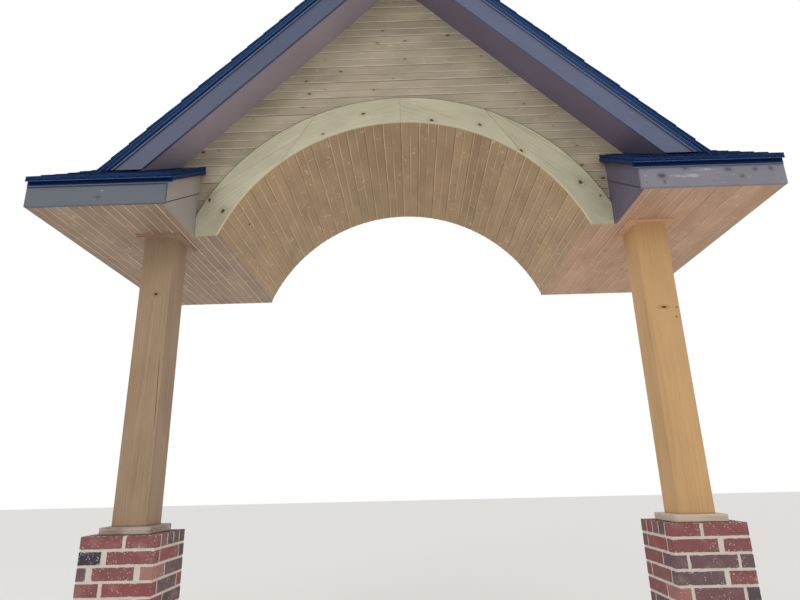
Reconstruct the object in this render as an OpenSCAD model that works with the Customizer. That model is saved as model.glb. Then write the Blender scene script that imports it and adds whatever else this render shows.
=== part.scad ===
// Gabled porch canopy with a boarded barrel vault, boxed eave returns,
// two timber posts on brick piers, and a slope of the main roof on each side.
// Origin: centre of the wall ledger's back face, on the house wall plane.
// The front faces -Y, the house wall is the plane y = 0, and up is +Z.

/* [Piers] */
// Side of the square brick pier
pier_w = 406; // [350:2:500]
// Height of the brick pier above the porch floor
pier_h = 914; // [600:2:1200]

/* [Posts] */
// Distance from the side wall of the bay to the centre of the post
post_inset = 590; // [480:2:650]
// Distance from the face of the gable boards back to the centre of the post
post_back = 82; // [50:1:130]
// Side of the square timber post
post_w = 197; // [140:1:220]
// Side of the plate under the post and of the collar at its head
plate_w = 286; // [250:2:320]
// Thickness of the plate on the pier
plate_t = 38; // [30:1:50]
// Radius of the eased upright corners of the plate
plate_corner_r = 9; // [3:1:15]
// Thickness of the collar boards under the soffit
collar_t = 19; // [15:1:25]
// Width of the eased bottom edge of the collar
collar_ease = 4; // [1:1:6]
// Height of the soffit above the top of the pier
post_clear_h = 1778; // [1500:2:2100]

/* [Porch ceiling] */
// Width of the bay between the side walls of the house
bay_w = 4300; // [4000:10:4800]
// Distance from the house wall to the face of the gable boards
porch_depth = 1472; // [1300:2:1700]
// Thickness of the tongue-and-groove boards of the ceilings and the gable
board_t = 19; // [15:1:25]
// Distance from the return to the springing of the vault
springing_inset = 153; // [110:1:200]
// Rise of the vault above its springing
vault_rise = 779; // [700:1:800]

/* [Arch trim] */
// Width of the curved trim board round the front of the vault
trim_w = 190; // [150:2:210]
// Thickness of the curved trim board
trim_t = 19; // [15:1:30]
// Gap between the foot of the trim and the face of the return
trim_gap = 2; // [1:1:5]
// Angle from the crown to the middle of each side joint between two boards of the trim
trim_joint_angle = 29; // [20:1:40]
// Lean of the side joints from a radius of the arch
trim_joint_lean = 62; // [0:1:65]
// Open joint between two boards of the trim
trim_joint = 0.8; // [0.5:0.1:3]

/* [Eaves] */
// Distance from the gable boards to the front face of the eave fascia
eave_over = 478; // [400:2:560]
// Height of the fascia boards
fascia_h = 140; // [120:2:160]
// Thickness of the fascia and return boards
fascia_t = 19; // [15:1:25]
// Distance from the side board of the return to the collar of the post
return_reveal = 55; // [30:1:80]
// Open joint between the upper and the lower board of a return
return_seam = 3; // [1:1:6]

/* [Gable] */
// Distance from the gable boards to the face of the rake fascia
rake_over = 246; // [180:2:300]
// Height of the rake soffit above the flat soffit, on the centre line
gable_rise = 1978; // [1900:2:2100]
// Slope of the gable roof
gable_pitch = 45; // [42:0.5:48]
// Slope of the main roof in front of and beside the gable
main_pitch = 33; // [31:0.5:36]
// Thickness of the painted rake soffit
rake_soffit_t = 10; // [6:1:14]
// Height of the rake fascia's foot above the shingles
rake_foot_gap = 8; // [4:1:14]

/* [Roof cover] */
// Thickness of the roof boards
deck_t = 18; // [12:1:22]
// Thickness of the shingles at the eave, with their starter course
shingle_t = 28; // [20:1:34]
// Overhang of the shingles past the fascia and the return
shingle_over = 25; // [15:1:35]
// Overhang of the roof boards past the inner face of a return
return_over = 32; // [20:1:40]
// Thickness of the drip edge metal
drip_t = 2; // [1:0.5:3]
// Width of the drip edge flange under the shingles
drip_flange = 50; // [40:1:60]
// Overlap of the drip edge face on the fascia
drip_lap = 20; // [10:1:28]
// Flare of the drip edge at its lower hem
drip_flare = 7; // [4:1:10]
// Width of each leg of the ridge cap
ridge_cap_w = 150; // [120:5:180]
// Thickness of the ridge cap
ridge_cap_t = 12; // [8:1:16]

/* [Framing] */
// Thickness of the framing timber
timber_t = 38; // [32:1:45]
// Depth of the rafters, joists and headers
rafter_d = 140; // [130:2:150]
// Depth of the valley rafters and of the ridge board
valley_d = 184; // [170:2:200]
// Depth of the curved ribs over the vault
rib_d = 120; // [90:2:130]
// Height of the centre ledger on the house wall
ledger_h = 184; // [150:2:200]
// Number of gable frames between the gable boards and the wall
frame_count = 5; // [4:1:6]
// Distance between the rafters of the main slope
rafter_spacing = 375; // [365:1:385]
// Distance between the studs of the gable wall
stud_spacing = 406; // [380:2:420]
// Distance between the blocks over the rake soffit
lookout_spacing = 610; // [500:10:700]

/* [Fixings] */
// Diameter of the holes for the ledger bolts
bolt_d = 14; // [10:0.5:16]
// Distance between the bolt holes along the ledger
bolt_x = 900; // [600:10:1100]
// Distance between the two rows of bolt holes
bolt_z = 100; // [60:2:110]

/* [Hidden] */
// Clearance between curved pieces, and round the posts
fit = 0.3;
// Gap between the foot of the vault and the beam beside it
beam_gap = 2;
$fn = 96;
far = 3000;

// Heights, from the ledger's centre down to the flat soffit and the ground
vault_crown = board_t + vault_rise;
ledger_up = vault_crown + board_t + rib_d + 2 * fit + ledger_h / 2;
soffit_z = -ledger_up;
pier_top = soffit_z - post_clear_h;
ground_z = pier_top - pier_h;
frame_z = soffit_z + board_t;
frame_top = frame_z + rafter_d;

// Places in plan
bay_half = bay_w / 2;
post_x = bay_half - post_inset;
return_half_w = post_x - plate_w / 2 - return_reveal - fascia_t;
vault_half_w = return_half_w - springing_inset;
gable_y = -porch_depth;
gable_back = gable_y + board_t;
post_y = gable_y + post_back;
eave_y = gable_y - eave_over;
rake_y = gable_y - rake_over;

// Vault circle
vault_r = (vault_half_w * vault_half_w + vault_rise * vault_rise) / (2 * vault_rise);
vault_z = frame_z + vault_rise - vault_r;
vault_out_r = vault_r + board_t;
rib_in_r = vault_out_r + fit;
rib_out_r = rib_in_r + rib_d;
vault_foot = sqrt(vault_out_r * vault_out_r - pow(frame_z - vault_z, 2));
beam_x = vault_foot + beam_gap;

// Roof planes: each function gives a height over the plan
roof_t = deck_t + shingle_t;
slope_g = tan(gable_pitch);
slope_m = tan(main_pitch);
function gable_z(x, lift) = soffit_z + gable_rise + lift / cos(gable_pitch) - x * slope_g;
function main_z(y, lift) = soffit_z + fascia_h + lift / cos(main_pitch) + (y - eave_y) * slope_m;

// Distance from the centre line to the valley, over the shingles and under the roof boards
function valley_x(y) = (gable_z(0, rafter_d + roof_t) - main_z(y, roof_t)) / slope_g;
function valley_frame_x(y) = (gable_z(0, rafter_d) - main_z(y, 0)) / slope_g;
valley_angle = atan(slope_m / slope_g);
valley_half = timber_t / 2 / cos(valley_angle);
valley_fall = slope_m * cos(valley_angle);
valley_plumb_d = valley_d * sqrt(1 + valley_fall * valley_fall);

// Frames and rafters
frame_first = gable_back + timber_t / 2;
frame_step = (-timber_t / 2 - frame_first) / (frame_count - 1);
outer_rafter_x = bay_half - timber_t / 2;

// Mirrors the right-hand piece to the left
module on_side(side) {
    mirror([side < 0 ? 1 : 0, 0, 0]) children();
}

// A profile in x and z, drawn out from y0 to y1
module along_y(y0, y1) {
    translate([0, y1, 0]) rotate([90, 0, 0]) linear_extrude(y1 - y0) children();
}

// A profile in y and z, drawn out from x0 to x1
module along_x(x0, x1) {
    translate([x0, 0, 0]) rotate([90, 0, 90]) linear_extrude(x1 - x0) children();
}

// A profile in plan, as tall as the whole roof
module over_plan() {
    translate([0, 0, -2 * far]) linear_extrude(4 * far) children();
}

// Everything above a level
module above(z) {
    translate([-2 * far, -2 * far, z]) cube([4 * far, 4 * far, 2 * far]);
}

// A disc round the vault's axis
module vault_disc(r) {
    translate([0, vault_z]) circle(r, $fn = 256);
}

// Layer of the gable roof between two lifts over the rake soffit line
module gable_layer(y0, lift0, lift1) {
    intersection() {
        along_y(y0, 0) polygon([
            [0, gable_z(0, lift0)],
            [far, gable_z(far, lift0)],
            [far, gable_z(far, lift1)],
            [0, gable_z(0, lift1)]
        ]);
        over_plan() polygon([
            [0, y0 - 1],
            [valley_x(y0 - 1), y0 - 1],
            [valley_x(0), 0],
            [0, 0]
        ]);
    }
}

// All that lies lower than a lift over the main slope, in front of the gable boards
module under_front_slope(lift) {
    along_x(-far, far) polygon([
        [-far, -2 * far],
        [gable_y, -2 * far],
        [gable_y, main_z(gable_y, lift)],
        [-far, main_z(-far, lift)]
    ]);
}

// Layer of the main slope on the right, with its notch round the gable wall
module main_layer(y0, inner_x, lift0, lift1) {
    intersection() {
        along_x(0, bay_half) polygon([
            [y0, main_z(y0, lift0)],
            [0, main_z(0, lift0)],
            [0, main_z(0, lift1)],
            [y0, main_z(y0, lift1)]
        ]);
        over_plan() polygon([
            [inner_x, y0],
            [bay_half, y0],
            [bay_half, 0],
            [valley_x(0), 0],
            [valley_x(gable_y), gable_y],
            [inner_x, gable_y]
        ]);
    }
}

module pier() {
    color("firebrick")
    translate([post_x - pier_w / 2, post_y - pier_w / 2, ground_z])
    cube([pier_w, pier_w, pier_h]);
}

module base_plate() {
    reach = plate_w / 2 - plate_corner_r;
    color("tan")
    translate([post_x, post_y, pier_top])
    linear_extrude(plate_t)
    union() {
        square([plate_w, 2 * reach], center = true);
        square([2 * reach, plate_w], center = true);
        for (i = [-1, 1], j = [-1, 1]) {
            translate([i * reach, j * reach]) circle(plate_corner_r, $fn = 32);
        }
    }
}

module post() {
    color("peru")
    translate([post_x - post_w / 2, post_y - post_w / 2, pier_top + plate_t])
    cube([post_w, post_w, frame_z - pier_top - plate_t]);
}

// Square hole that the post passes through
module post_hole() {
    translate([post_x, post_y, 0])
    over_plan() square(post_w + 2 * fit, center = true);
}

module post_collar() {
    half = plate_w / 2;
    color("sandybrown")
    difference() {
        intersection() {
            translate([post_x, post_y, 0]) along_x(-half, half) collar_outline(half);
            translate([post_x, post_y, 0]) along_y(-half, half) collar_outline(half);
        }
        post_hole();
    }
}

// Section of the collar, eased along its bottom edges
module collar_outline(half) {
    polygon([
        [-half, soffit_z],
        [-half, soffit_z - collar_t + collar_ease],
        [-half + collar_ease, soffit_z - collar_t],
        [half - collar_ease, soffit_z - collar_t],
        [half, soffit_z - collar_t + collar_ease],
        [half, soffit_z]
    ]);
}

module soffit() {
    inner_front = return_half_w + fascia_t;
    color("burlywood")
    difference() {
        translate([0, 0, soffit_z]) linear_extrude(board_t) polygon([
            [vault_half_w, 0],
            [bay_half, 0],
            [bay_half, eave_y + fascia_t],
            [inner_front, eave_y + fascia_t],
            [inner_front, gable_y],
            [vault_half_w, gable_y]
        ]);
        post_hole();
    }
}

module vault_ceiling() {
    color("tan")
    intersection() {
        along_y(gable_y, 0) difference() {
            vault_disc(vault_out_r);
            vault_disc(vault_r);
        }
        above(frame_z);
    }
}

// Curved trim in four boards, with a joint at the crown and an oblique one on each side
module arch_trim() {
    foot = return_half_w - trim_gap;
    mid_r = vault_r + trim_w / 2;
    color("palegoldenrod")
    along_y(gable_y - trim_t, gable_y)
    difference() {
        intersection() {
            difference() {
                vault_disc(vault_r + trim_w);
                vault_disc(vault_r);
            }
            translate([-foot, soffit_z]) square([2 * foot, far]);
        }
        trim_cut(0, 0, mid_r, trim_w);
        for (side = [-1, 1]) {
            trim_cut(side * trim_joint_angle, side * trim_joint_lean, mid_r, trim_w);
        }
    }
}

// Saw cut across the trim at an angle from the crown, leaning from the radius
module trim_cut(angle, lean, r, length) {
    half = length / cos(lean);
    translate([0, vault_z])
    rotate(-angle)
    translate([0, r])
    rotate(lean)
    square([trim_joint, 2 * half], center = true);
}

module gable_boards() {
    edge = valley_x(gable_back);
    color("wheat")
    along_y(gable_y, gable_back)
    difference() {
        polygon([
            [-edge, frame_z],
            [edge, frame_z],
            [edge, gable_z(edge, rafter_d)],
            [0, gable_z(0, rafter_d)],
            [-edge, gable_z(edge, rafter_d)]
        ]);
        vault_disc(rib_in_r);
    }
}

module eave_fascia() {
    color("rosybrown")
    along_x(return_half_w, bay_half) polygon([
        [eave_y, soffit_z],
        [eave_y + fascia_t, soffit_z],
        [eave_y + fascia_t, main_z(eave_y + fascia_t, 0)],
        [eave_y, main_z(eave_y, 0)]
    ]);
}

// Upper board of the return, which follows the main slope
module return_board() {
    front = eave_y + fascia_t;
    color("rosybrown")
    along_x(return_half_w, return_half_w + fascia_t) polygon([
        [front, main_z(front, 0) - fascia_h],
        [gable_y, main_z(gable_y, 0) - fascia_h],
        [gable_y, main_z(gable_y, 0)],
        [front, main_z(front, 0)]
    ]);
}

// Lower board of the return, a triangle down to the soffit
module return_infill() {
    front = eave_y + fascia_t;
    color("rosybrown")
    along_x(return_half_w, return_half_w + fascia_t) polygon([
        [front, soffit_z],
        [gable_y, soffit_z],
        [gable_y, main_z(gable_y, 0) - fascia_h - return_seam],
        [front, main_z(front, 0) - fascia_h - return_seam]
    ]);
}

module rake_fascia() {
    color("slategray")
    difference() {
        intersection() {
            gable_layer(rake_y, 0, rafter_d);
            translate([0, rake_y, -far]) cube([far, fascia_t, 2 * far]);
        }
        under_front_slope(roof_t + rake_foot_gap);
    }
}

module rake_soffit() {
    front = rake_y + fascia_t;
    color("rosybrown")
    difference() {
        intersection() {
            gable_layer(rake_y, 0, rake_soffit_t);
            translate([0, front, -far]) cube([far, gable_y - front, 2 * far]);
        }
        under_front_slope(roof_t);
    }
}

module gable_deck() {
    color("peru")
    difference() {
        gable_layer(rake_y, rafter_d, rafter_d + deck_t);
        under_front_slope(roof_t);
    }
}

module gable_shingles() {
    color("midnightblue")
    difference() {
        gable_layer(rake_y - shingle_over, rafter_d + deck_t, rafter_d + roof_t);
        under_front_slope(roof_t);
        rake_drip();
    }
}

module main_deck() {
    color("peru")
    main_layer(eave_y, return_half_w - return_over, 0, deck_t);
}

module main_shingles() {
    color("midnightblue")
    difference() {
        main_layer(
            eave_y - shingle_over,
            return_half_w - return_over - shingle_over,
            deck_t,
            roof_t
        );
        eave_drip();
    }
}

module ridge_cap() {
    lift = rafter_d + roof_t;
    leg = ridge_cap_w * cos(gable_pitch);
    color("midnightblue")
    along_y(rake_y - shingle_over, 0)
    polygon([
        [-leg, gable_z(leg, lift)],
        [0, gable_z(0, lift)],
        [leg, gable_z(leg, lift)],
        [leg, gable_z(leg, lift + ridge_cap_t)],
        [0, gable_z(0, lift + ridge_cap_t)],
        [-leg, gable_z(leg, lift + ridge_cap_t)]
    ]);
}

// Section of a drip edge: a flange, a face and a flared hem
module drip_section(face) {
    polygon([
        [drip_flange, 0],
        [drip_flange, drip_t],
        [-drip_t, drip_t],
        [-drip_t, -face + drip_flare],
        [-drip_t - drip_flare, -face],
        [-drip_flare, -face],
        [0, -face + drip_flare],
        [0, 0]
    ]);
}

module rake_drip() {
    color("darkslategray")
    difference() {
        intersection() {
            translate([0, rake_y, gable_z(0, rafter_d + deck_t)])
            rotate([0, gable_pitch, 0])
            along_x(-drip_flange, far) drip_section(deck_t + drip_lap);
            translate([0, -far, -far]) cube([far, 2 * far, 2 * far]);
        }
        under_front_slope(roof_t + rake_foot_gap);
    }
}

// Drip edge along the eave and up the inner edge of the return
module eave_drip() {
    corner = return_half_w - return_over;
    length = (gable_y - eave_y) / cos(main_pitch);
    color("darkslategray")
    union() {
        along_x(corner - drip_t, bay_half) polygon([
            [eave_y, main_z(eave_y, deck_t)],
            [eave_y + drip_flange, main_z(eave_y + drip_flange, deck_t)],
            [eave_y + drip_flange, main_z(eave_y + drip_flange, deck_t + drip_t)],
            [eave_y - drip_t, main_z(eave_y - drip_t, deck_t + drip_t)],
            [eave_y - drip_t, main_z(eave_y, 0) - drip_lap + drip_flare],
            [eave_y - drip_t - drip_flare, main_z(eave_y, 0) - drip_lap],
            [eave_y - drip_flare, main_z(eave_y, 0) - drip_lap],
            [eave_y, main_z(eave_y, 0) - drip_lap + drip_flare]
        ]);
        intersection() {
            translate([corner, eave_y, main_z(eave_y, deck_t)])
            rotate([main_pitch, 0, 0])
            along_y(-drip_flange, length + drip_flange)
            polygon([
                [drip_flange, 0],
                [drip_flange, drip_t],
                [-drip_t, drip_t],
                [-drip_t, -deck_t - drip_t],
                [0, -deck_t - drip_t],
                [0, 0]
            ]);
            translate([0, eave_y, -far]) cube([far, gable_y - eave_y, 2 * far]);
        }
    }
}

module ridge_board() {
    half = timber_t / 2;
    top = gable_z(half, rafter_d);
    color("burlywood")
    translate([-half, gable_back, top - valley_d])
    cube([timber_t, -gable_back, valley_d]);
}

// Plan of all that lies inside the valley rafter
module inside_valley() {
    over_plan() polygon([
        [0, gable_y],
        [valley_frame_x(gable_y) - valley_half, gable_y],
        [valley_frame_x(0) - valley_half, 0],
        [0, 0]
    ]);
}

// Pair of rafters of one gable frame, centred on y
module gable_rafter_pair(y) {
    start = timber_t / 2;
    for (side = [-1, 1]) {
        on_side(side)
        intersection() {
            along_y(y - timber_t / 2, y + timber_t / 2) polygon([
                [start, gable_z(start, 0)],
                [far, gable_z(far, 0)],
                [far, gable_z(far, rafter_d)],
                [start, gable_z(start, rafter_d)]
            ]);
            inside_valley();
        }
    }
}

module gable_rafters() {
    color("burlywood")
    for (i = [0 : frame_count - 1]) {
        gable_rafter_pair(frame_first + i * frame_step);
    }
}

// All that lies over the sole of the valley rafter, to a half width on each side of the valley
module over_valley_sole(half) {
    sole = main_z(0, 0) - valley_plumb_d;
    translate([valley_frame_x(0), 0, 0])
    rotate([0, 0, valley_angle - 90])
    along_y(-half, half) polygon([
        [-timber_t, sole + valley_fall * timber_t],
        [far, sole - valley_fall * far],
        [far, far],
        [-timber_t, far]
    ]);
}

// Valley rafter, under the higher of the two roof decks
module valley_rafter() {
    intersection() {
        over_valley_sole(timber_t / 2);
        translate([0, gable_back, -far]) cube([far, -gable_back, 2 * far]);
        union() {
            along_y(gable_back, 0) polygon([
                [0, -far],
                [valley_frame_x(0) + far, -far],
                [valley_frame_x(0) + far, gable_z(valley_frame_x(0) + far, rafter_d)],
                [0, gable_z(0, rafter_d)]
            ]);
            along_x(0, far) polygon([
                [gable_back, -far],
                [0, -far],
                [0, main_z(0, 0)],
                [gable_back, main_z(gable_back, 0)]
            ]);
        }
    }
}

module valley_rafters() {
    color("burlywood")
    for (side = [-1, 1]) {
        on_side(side) valley_rafter();
    }
}

// One rafter of the main slope, from y0 to the house wall
module main_rafter(x, y0, y1) {
    along_x(x - timber_t / 2, x + timber_t / 2) polygon([
        [y0, main_z(y0, -rafter_d)],
        [y1, main_z(y1, -rafter_d)],
        [y1, main_z(y1, 0)],
        [y0, main_z(y0, 0)]
    ]);
}

module main_rafters() {
    front = eave_y + fascia_t;
    return_inside = return_half_w + fascia_t + timber_t / 2;
    upper_count = floor((outer_rafter_x - valley_frame_x(0)) / rafter_spacing);
    color("burlywood")
    for (side = [-1, 1]) {
        on_side(side)
        intersection() {
            union() {
                for (i = [0 : upper_count]) {
                    main_rafter(outer_rafter_x - i * rafter_spacing, gable_y, 0);
                }
                for (x = [outer_rafter_x : -rafter_spacing : return_inside]) {
                    main_rafter(x, front, gable_y);
                }
            }
            above(frame_z);
            over_plan() polygon([
                [return_half_w + fascia_t, eave_y],
                [bay_half, eave_y],
                [bay_half, 0],
                [valley_frame_x(0) + valley_half, 0],
                [valley_frame_x(gable_y) + valley_half, gable_y],
                [return_half_w + fascia_t, gable_y]
            ]);
        }
    }
}

module vault_ribs() {
    color("wheat")
    intersection() {
        union() {
            for (i = [0 : frame_count - 1]) {
                y = frame_first + i * frame_step;
                along_y(y - timber_t / 2, y + timber_t / 2) difference() {
                    vault_disc(rib_out_r);
                    vault_disc(rib_in_r);
                }
            }
        }
        above(frame_top);
    }
}

// Doubled header on the post and doubled beam along the side of the vault
module headers() {
    width = 2 * timber_t;
    color("burlywood")
    for (side = [-1, 1]) {
        on_side(side)
        union() {
            translate([beam_x, gable_back, frame_z])
            cube([bay_half - timber_t - beam_x, width, rafter_d]);
            translate([beam_x, gable_back, frame_z])
            cube([width, -timber_t - gable_back, rafter_d]);
        }
    }
}

module ceiling_joists() {
    inner = beam_x + 2 * timber_t;
    first = gable_back + 2 * timber_t;
    step = (-timber_t - first) / frame_count;
    color("burlywood")
    for (side = [-1, 1], i = [1 : frame_count - 1]) {
        on_side(side)
        translate([inner, first + i * step - timber_t / 2, frame_z])
        cube([bay_half - timber_t - inner, timber_t, rafter_d]);
    }
}

// Centre ledger, cut to fit under the rafters at the wall, with its bolt holes
module wall_ledger() {
    half_h = ledger_h / 2;
    color("burlywood")
    difference() {
        along_y(-timber_t, 0) polygon([
            [-ledger_half(-half_h), -half_h],
            [ledger_half(-half_h), -half_h],
            [ledger_half(half_h), half_h],
            [timber_t / 2, half_h],
            [timber_t / 2, gable_z(timber_t / 2, rafter_d) - valley_d],
            [-timber_t / 2, gable_z(timber_t / 2, rafter_d) - valley_d],
            [-timber_t / 2, half_h],
            [-ledger_half(half_h), half_h]
        ]);
        for (i = [-1, 1], j = [-1, 1]) {
            translate([i * bolt_x / 2, 1, j * bolt_z / 2])
            rotate([90, 0, 0])
            cylinder(h = timber_t + 2, d = bolt_d);
        }
    }
}

// Half length of the centre ledger at a height, up to the underside of the rafters
function ledger_half(z) = (gable_z(0, 0) - z) / slope_g;

// Ledgers on the house wall and on the side walls, at the level of the joists
module side_ledgers() {
    color("burlywood")
    for (side = [-1, 1]) {
        on_side(side)
        union() {
            translate([beam_x, -timber_t, frame_z])
            cube([bay_half - beam_x, timber_t, rafter_d]);
            translate([bay_half - timber_t, gable_back, frame_z])
            cube([timber_t, -gable_back, rafter_d]);
        }
    }
}

// Studs behind the gable boards, and the stud under the foot of each valley rafter
module gable_studs() {
    valley_stud_x = valley_frame_x(gable_back + 2 * timber_t) - timber_t;
    color("burlywood")
    for (side = [-1, 1]) {
        on_side(side)
        difference() {
            union() {
                for (x = [stud_spacing : stud_spacing : valley_frame_x(gable_back) - timber_t]) {
                    stud(x, gable_back, 0);
                }
            }
            along_y(gable_back - 1, 0) vault_disc(rib_out_r + fit);
        }
        on_side(side)
        difference() {
            stud(valley_stud_x, gable_back + timber_t, 0);
            over_valley_sole(far);
        }
    }
}

// One stud from the header up to a lift under the rake soffit line
module stud(x, y, lift) {
    along_y(y, y + timber_t) polygon([
        [x - timber_t / 2, frame_top],
        [x + timber_t / 2, frame_top],
        [x + timber_t / 2, gable_z(x + timber_t / 2, lift)],
        [x - timber_t / 2, gable_z(x - timber_t / 2, lift)]
    ]);
}

// Blocks between the rake soffit and the roof boards
module rake_lookouts() {
    front = rake_y + fascia_t;
    color("burlywood")
    for (side = [-1, 1], i = [0 : 2]) {
        on_side(side)
        translate([0, front, gable_z(0, 0)])
        rotate([0, gable_pitch, 0])
        translate([(i + 0.5) * lookout_spacing, 0, rake_soffit_t])
        cube([timber_t, gable_y - front, rafter_d - rake_soffit_t]);
    }
}

on_side(-1) pier();  // pier_left
on_side(1) pier();  // pier_right
on_side(-1) base_plate();  // base_plate_left
on_side(1) base_plate();  // base_plate_right
on_side(-1) post();  // post_left
on_side(1) post();  // post_right
on_side(-1) post_collar();  // post_collar_left
on_side(1) post_collar();  // post_collar_right
on_side(-1) soffit();  // soffit_left
on_side(1) soffit();  // soffit_right
vault_ceiling();
arch_trim();
gable_boards();
on_side(-1) eave_fascia();  // eave_fascia_left
on_side(1) eave_fascia();  // eave_fascia_right
on_side(-1) return_board();  // return_board_left
on_side(1) return_board();  // return_board_right
on_side(-1) return_infill();  // return_infill_left
on_side(1) return_infill();  // return_infill_right
on_side(-1) rake_fascia();  // rake_fascia_left
on_side(1) rake_fascia();  // rake_fascia_right
on_side(-1) rake_soffit();  // rake_soffit_left
on_side(1) rake_soffit();  // rake_soffit_right
on_side(-1) gable_deck();  // gable_deck_left
on_side(1) gable_deck();  // gable_deck_right
on_side(-1) gable_shingles();  // gable_shingles_left
on_side(1) gable_shingles();  // gable_shingles_right
on_side(-1) main_deck();  // main_deck_left
on_side(1) main_deck();  // main_deck_right
on_side(-1) main_shingles();  // main_shingles_left
on_side(1) main_shingles();  // main_shingles_right
ridge_cap();
for (side = [-1, 1]) on_side(side) rake_drip();  // rake_drip_edge
for (side = [-1, 1]) on_side(side) eave_drip();  // eave_drip_edge
ridge_board();
gable_rafters();
valley_rafters();
main_rafters();
vault_ribs();
headers();
ceiling_joists();
wall_ledger();
side_ledgers();
gable_studs();
rake_lookouts();
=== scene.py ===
"""Gabled porch with a beaded barrel vault, boxed eave returns, shingles, cedar posts and brick piers."""

import logging
import math
import random
from collections.abc import Iterator
from dataclasses import dataclass, field
from enum import Enum
from itertools import zip_longest

import bmesh
import bpy
from mathutils import Matrix, Vector


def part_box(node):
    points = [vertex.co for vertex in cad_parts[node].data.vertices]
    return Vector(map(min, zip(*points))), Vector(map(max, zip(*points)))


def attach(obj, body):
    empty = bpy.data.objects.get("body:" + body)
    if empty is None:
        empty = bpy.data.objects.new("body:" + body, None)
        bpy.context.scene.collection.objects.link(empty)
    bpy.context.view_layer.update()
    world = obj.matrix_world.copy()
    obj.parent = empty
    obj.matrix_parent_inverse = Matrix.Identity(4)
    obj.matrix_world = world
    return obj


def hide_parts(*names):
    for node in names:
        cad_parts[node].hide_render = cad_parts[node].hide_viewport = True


LOG = logging.getLogger("porch")
BODY = "root"
MM = 0.001
GABLE_SLOPE = 1.0
MAIN_SLOPE = math.tan(math.radians(33))
GABLE_STEEP = math.hypot(1.0, GABLE_SLOPE)
MAIN_STEEP = math.hypot(1.0, MAIN_SLOPE)

Colour = tuple[float, float, float, float]
Pair = tuple[float, float]
Plan = list[Pair]
Work = bmesh.types.BMesh
Piece = bpy.types.Object
Material = bpy.types.Material

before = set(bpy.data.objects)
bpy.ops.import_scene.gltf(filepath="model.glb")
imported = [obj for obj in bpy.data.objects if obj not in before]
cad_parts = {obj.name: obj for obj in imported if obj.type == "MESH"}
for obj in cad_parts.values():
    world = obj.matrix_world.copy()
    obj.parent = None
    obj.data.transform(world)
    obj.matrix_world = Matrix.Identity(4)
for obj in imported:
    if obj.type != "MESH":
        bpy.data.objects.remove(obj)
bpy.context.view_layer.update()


def mm(value: float) -> float:
    """A length written in millimetres, in metres."""
    return value * MM


def shade(red: int, green: int, blue: int) -> Colour:
    """Turns a colour as a screen shows it, from 0 to 255, into the linear one that a shader takes."""
    values = [channel / 255 for channel in (red, green, blue)]
    return (*(v / 12.92 if v <= 0.04045 else ((v + 0.055) / 1.055) ** 2.4 for v in values), 1.0)


class Side(Enum):
    """The two sides of the porch, with the sign of their x."""

    LEFT = -1
    RIGHT = 1

    @property
    def word(self) -> str:
        """The side's name as the frame's nodes have it."""
        return self.name.lower()


class Run(Enum):
    """The directions in which boards and grain run."""

    ALONG_X = "x"
    ALONG_Y = "y"
    ALONG_Z = "z"
    ROUND_VAULT = "vault"


@dataclass(frozen=True)
class Porch:
    """Main places of the porch, in metres."""

    soffit_z: float
    ground_z: float
    gable_y: float
    bay_half: float
    board_t: float
    fascia_t: float
    vault_r: float
    vault_z: float
    springing_x: float
    return_x: float
    eave_y: float

    @classmethod
    def from_frame(cls) -> "Porch":
        """Works the places out from the boxes of the frame's nodes.

        Returns:
            The places.
        """
        soffit_lo, soffit_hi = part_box("soffit_right")
        vault_lo, vault_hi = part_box("vault_ceiling")
        fascia_lo, fascia_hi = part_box("eave_fascia_right")
        board_t = soffit_hi.z - soffit_lo.z
        rise = vault_hi.z - vault_lo.z
        outer_r = (vault_hi.x ** 2 + rise ** 2) / (2 * rise)
        return cls(
            soffit_z=soffit_lo.z,
            ground_z=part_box("pier_right")[0].z,
            gable_y=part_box("gable_boards")[0].y,
            bay_half=soffit_hi.x,
            board_t=board_t,
            fascia_t=fascia_hi.y - fascia_lo.y,
            vault_r=outer_r - board_t,
            vault_z=vault_hi.z - outer_r,
            springing_x=soffit_lo.x,
            return_x=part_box("return_board_right")[0].x,
            eave_y=fascia_lo.y,
        )


PORCH = Porch.from_frame()


class Value:
    """What comes out of a node, with the usual signs for sums, products and comparisons."""

    def __init__(self, nodes: "Nodes", socket: bpy.types.NodeSocket) -> None:
        """Keeps the node's output and the tree that it belongs to."""
        self.nodes, self.socket = nodes, socket

    def __add__(self, other: object) -> "Value":
        """The sum of both."""
        return self.nodes.math("ADD", self, other)

    def __sub__(self, other: object) -> "Value":
        """This less the other."""
        return self.nodes.math("SUBTRACT", self, other)

    def __mul__(self, other: object) -> "Value":
        """The product of both."""
        return self.nodes.math("MULTIPLY", self, other)

    def __truediv__(self, other: object) -> "Value":
        """This divided by the other."""
        return self.nodes.math("DIVIDE", self, other)

    def __lt__(self, other: object) -> "Value":
        """1 where this is the smaller one, or else 0."""
        return self.nodes.math("LESS_THAN", self, other)

    def __gt__(self, other: object) -> "Value":
        """1 where this is the larger one, or else 0."""
        return self.nodes.math("GREATER_THAN", self, other)

    def __abs__(self) -> "Value":
        """This without its sign."""
        return self.nodes.math("ABSOLUTE", self)

    def larger(self, other: object) -> "Value":
        """The larger one of both."""
        return self.nodes.math("MAXIMUM", self, other)

    def beside(self, output: int | str) -> "Value":
        """Another output of the same node."""
        return Value(self.nodes, self.socket.node.outputs[output])

    def span(self, low: float, high: float, out_low: float = 0.0, out_high: float = 1.0) -> "Value":
        """Maps a range smoothly onto another, and holds it there."""
        inputs = {"Value": self, "From Min": low, "From Max": high, "To Min": out_low, "To Max": out_high}
        return self.nodes.add("ShaderNodeMapRange", 0, inputs, interpolation_type="SMOOTHSTEP")

    def stripe(self, centre: float, half_width: float, strength: float = 1.0) -> "Value":
        """A soft stripe round one value."""
        return abs(self - centre).span(half_width * 0.5, half_width, strength, 0.0)


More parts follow.
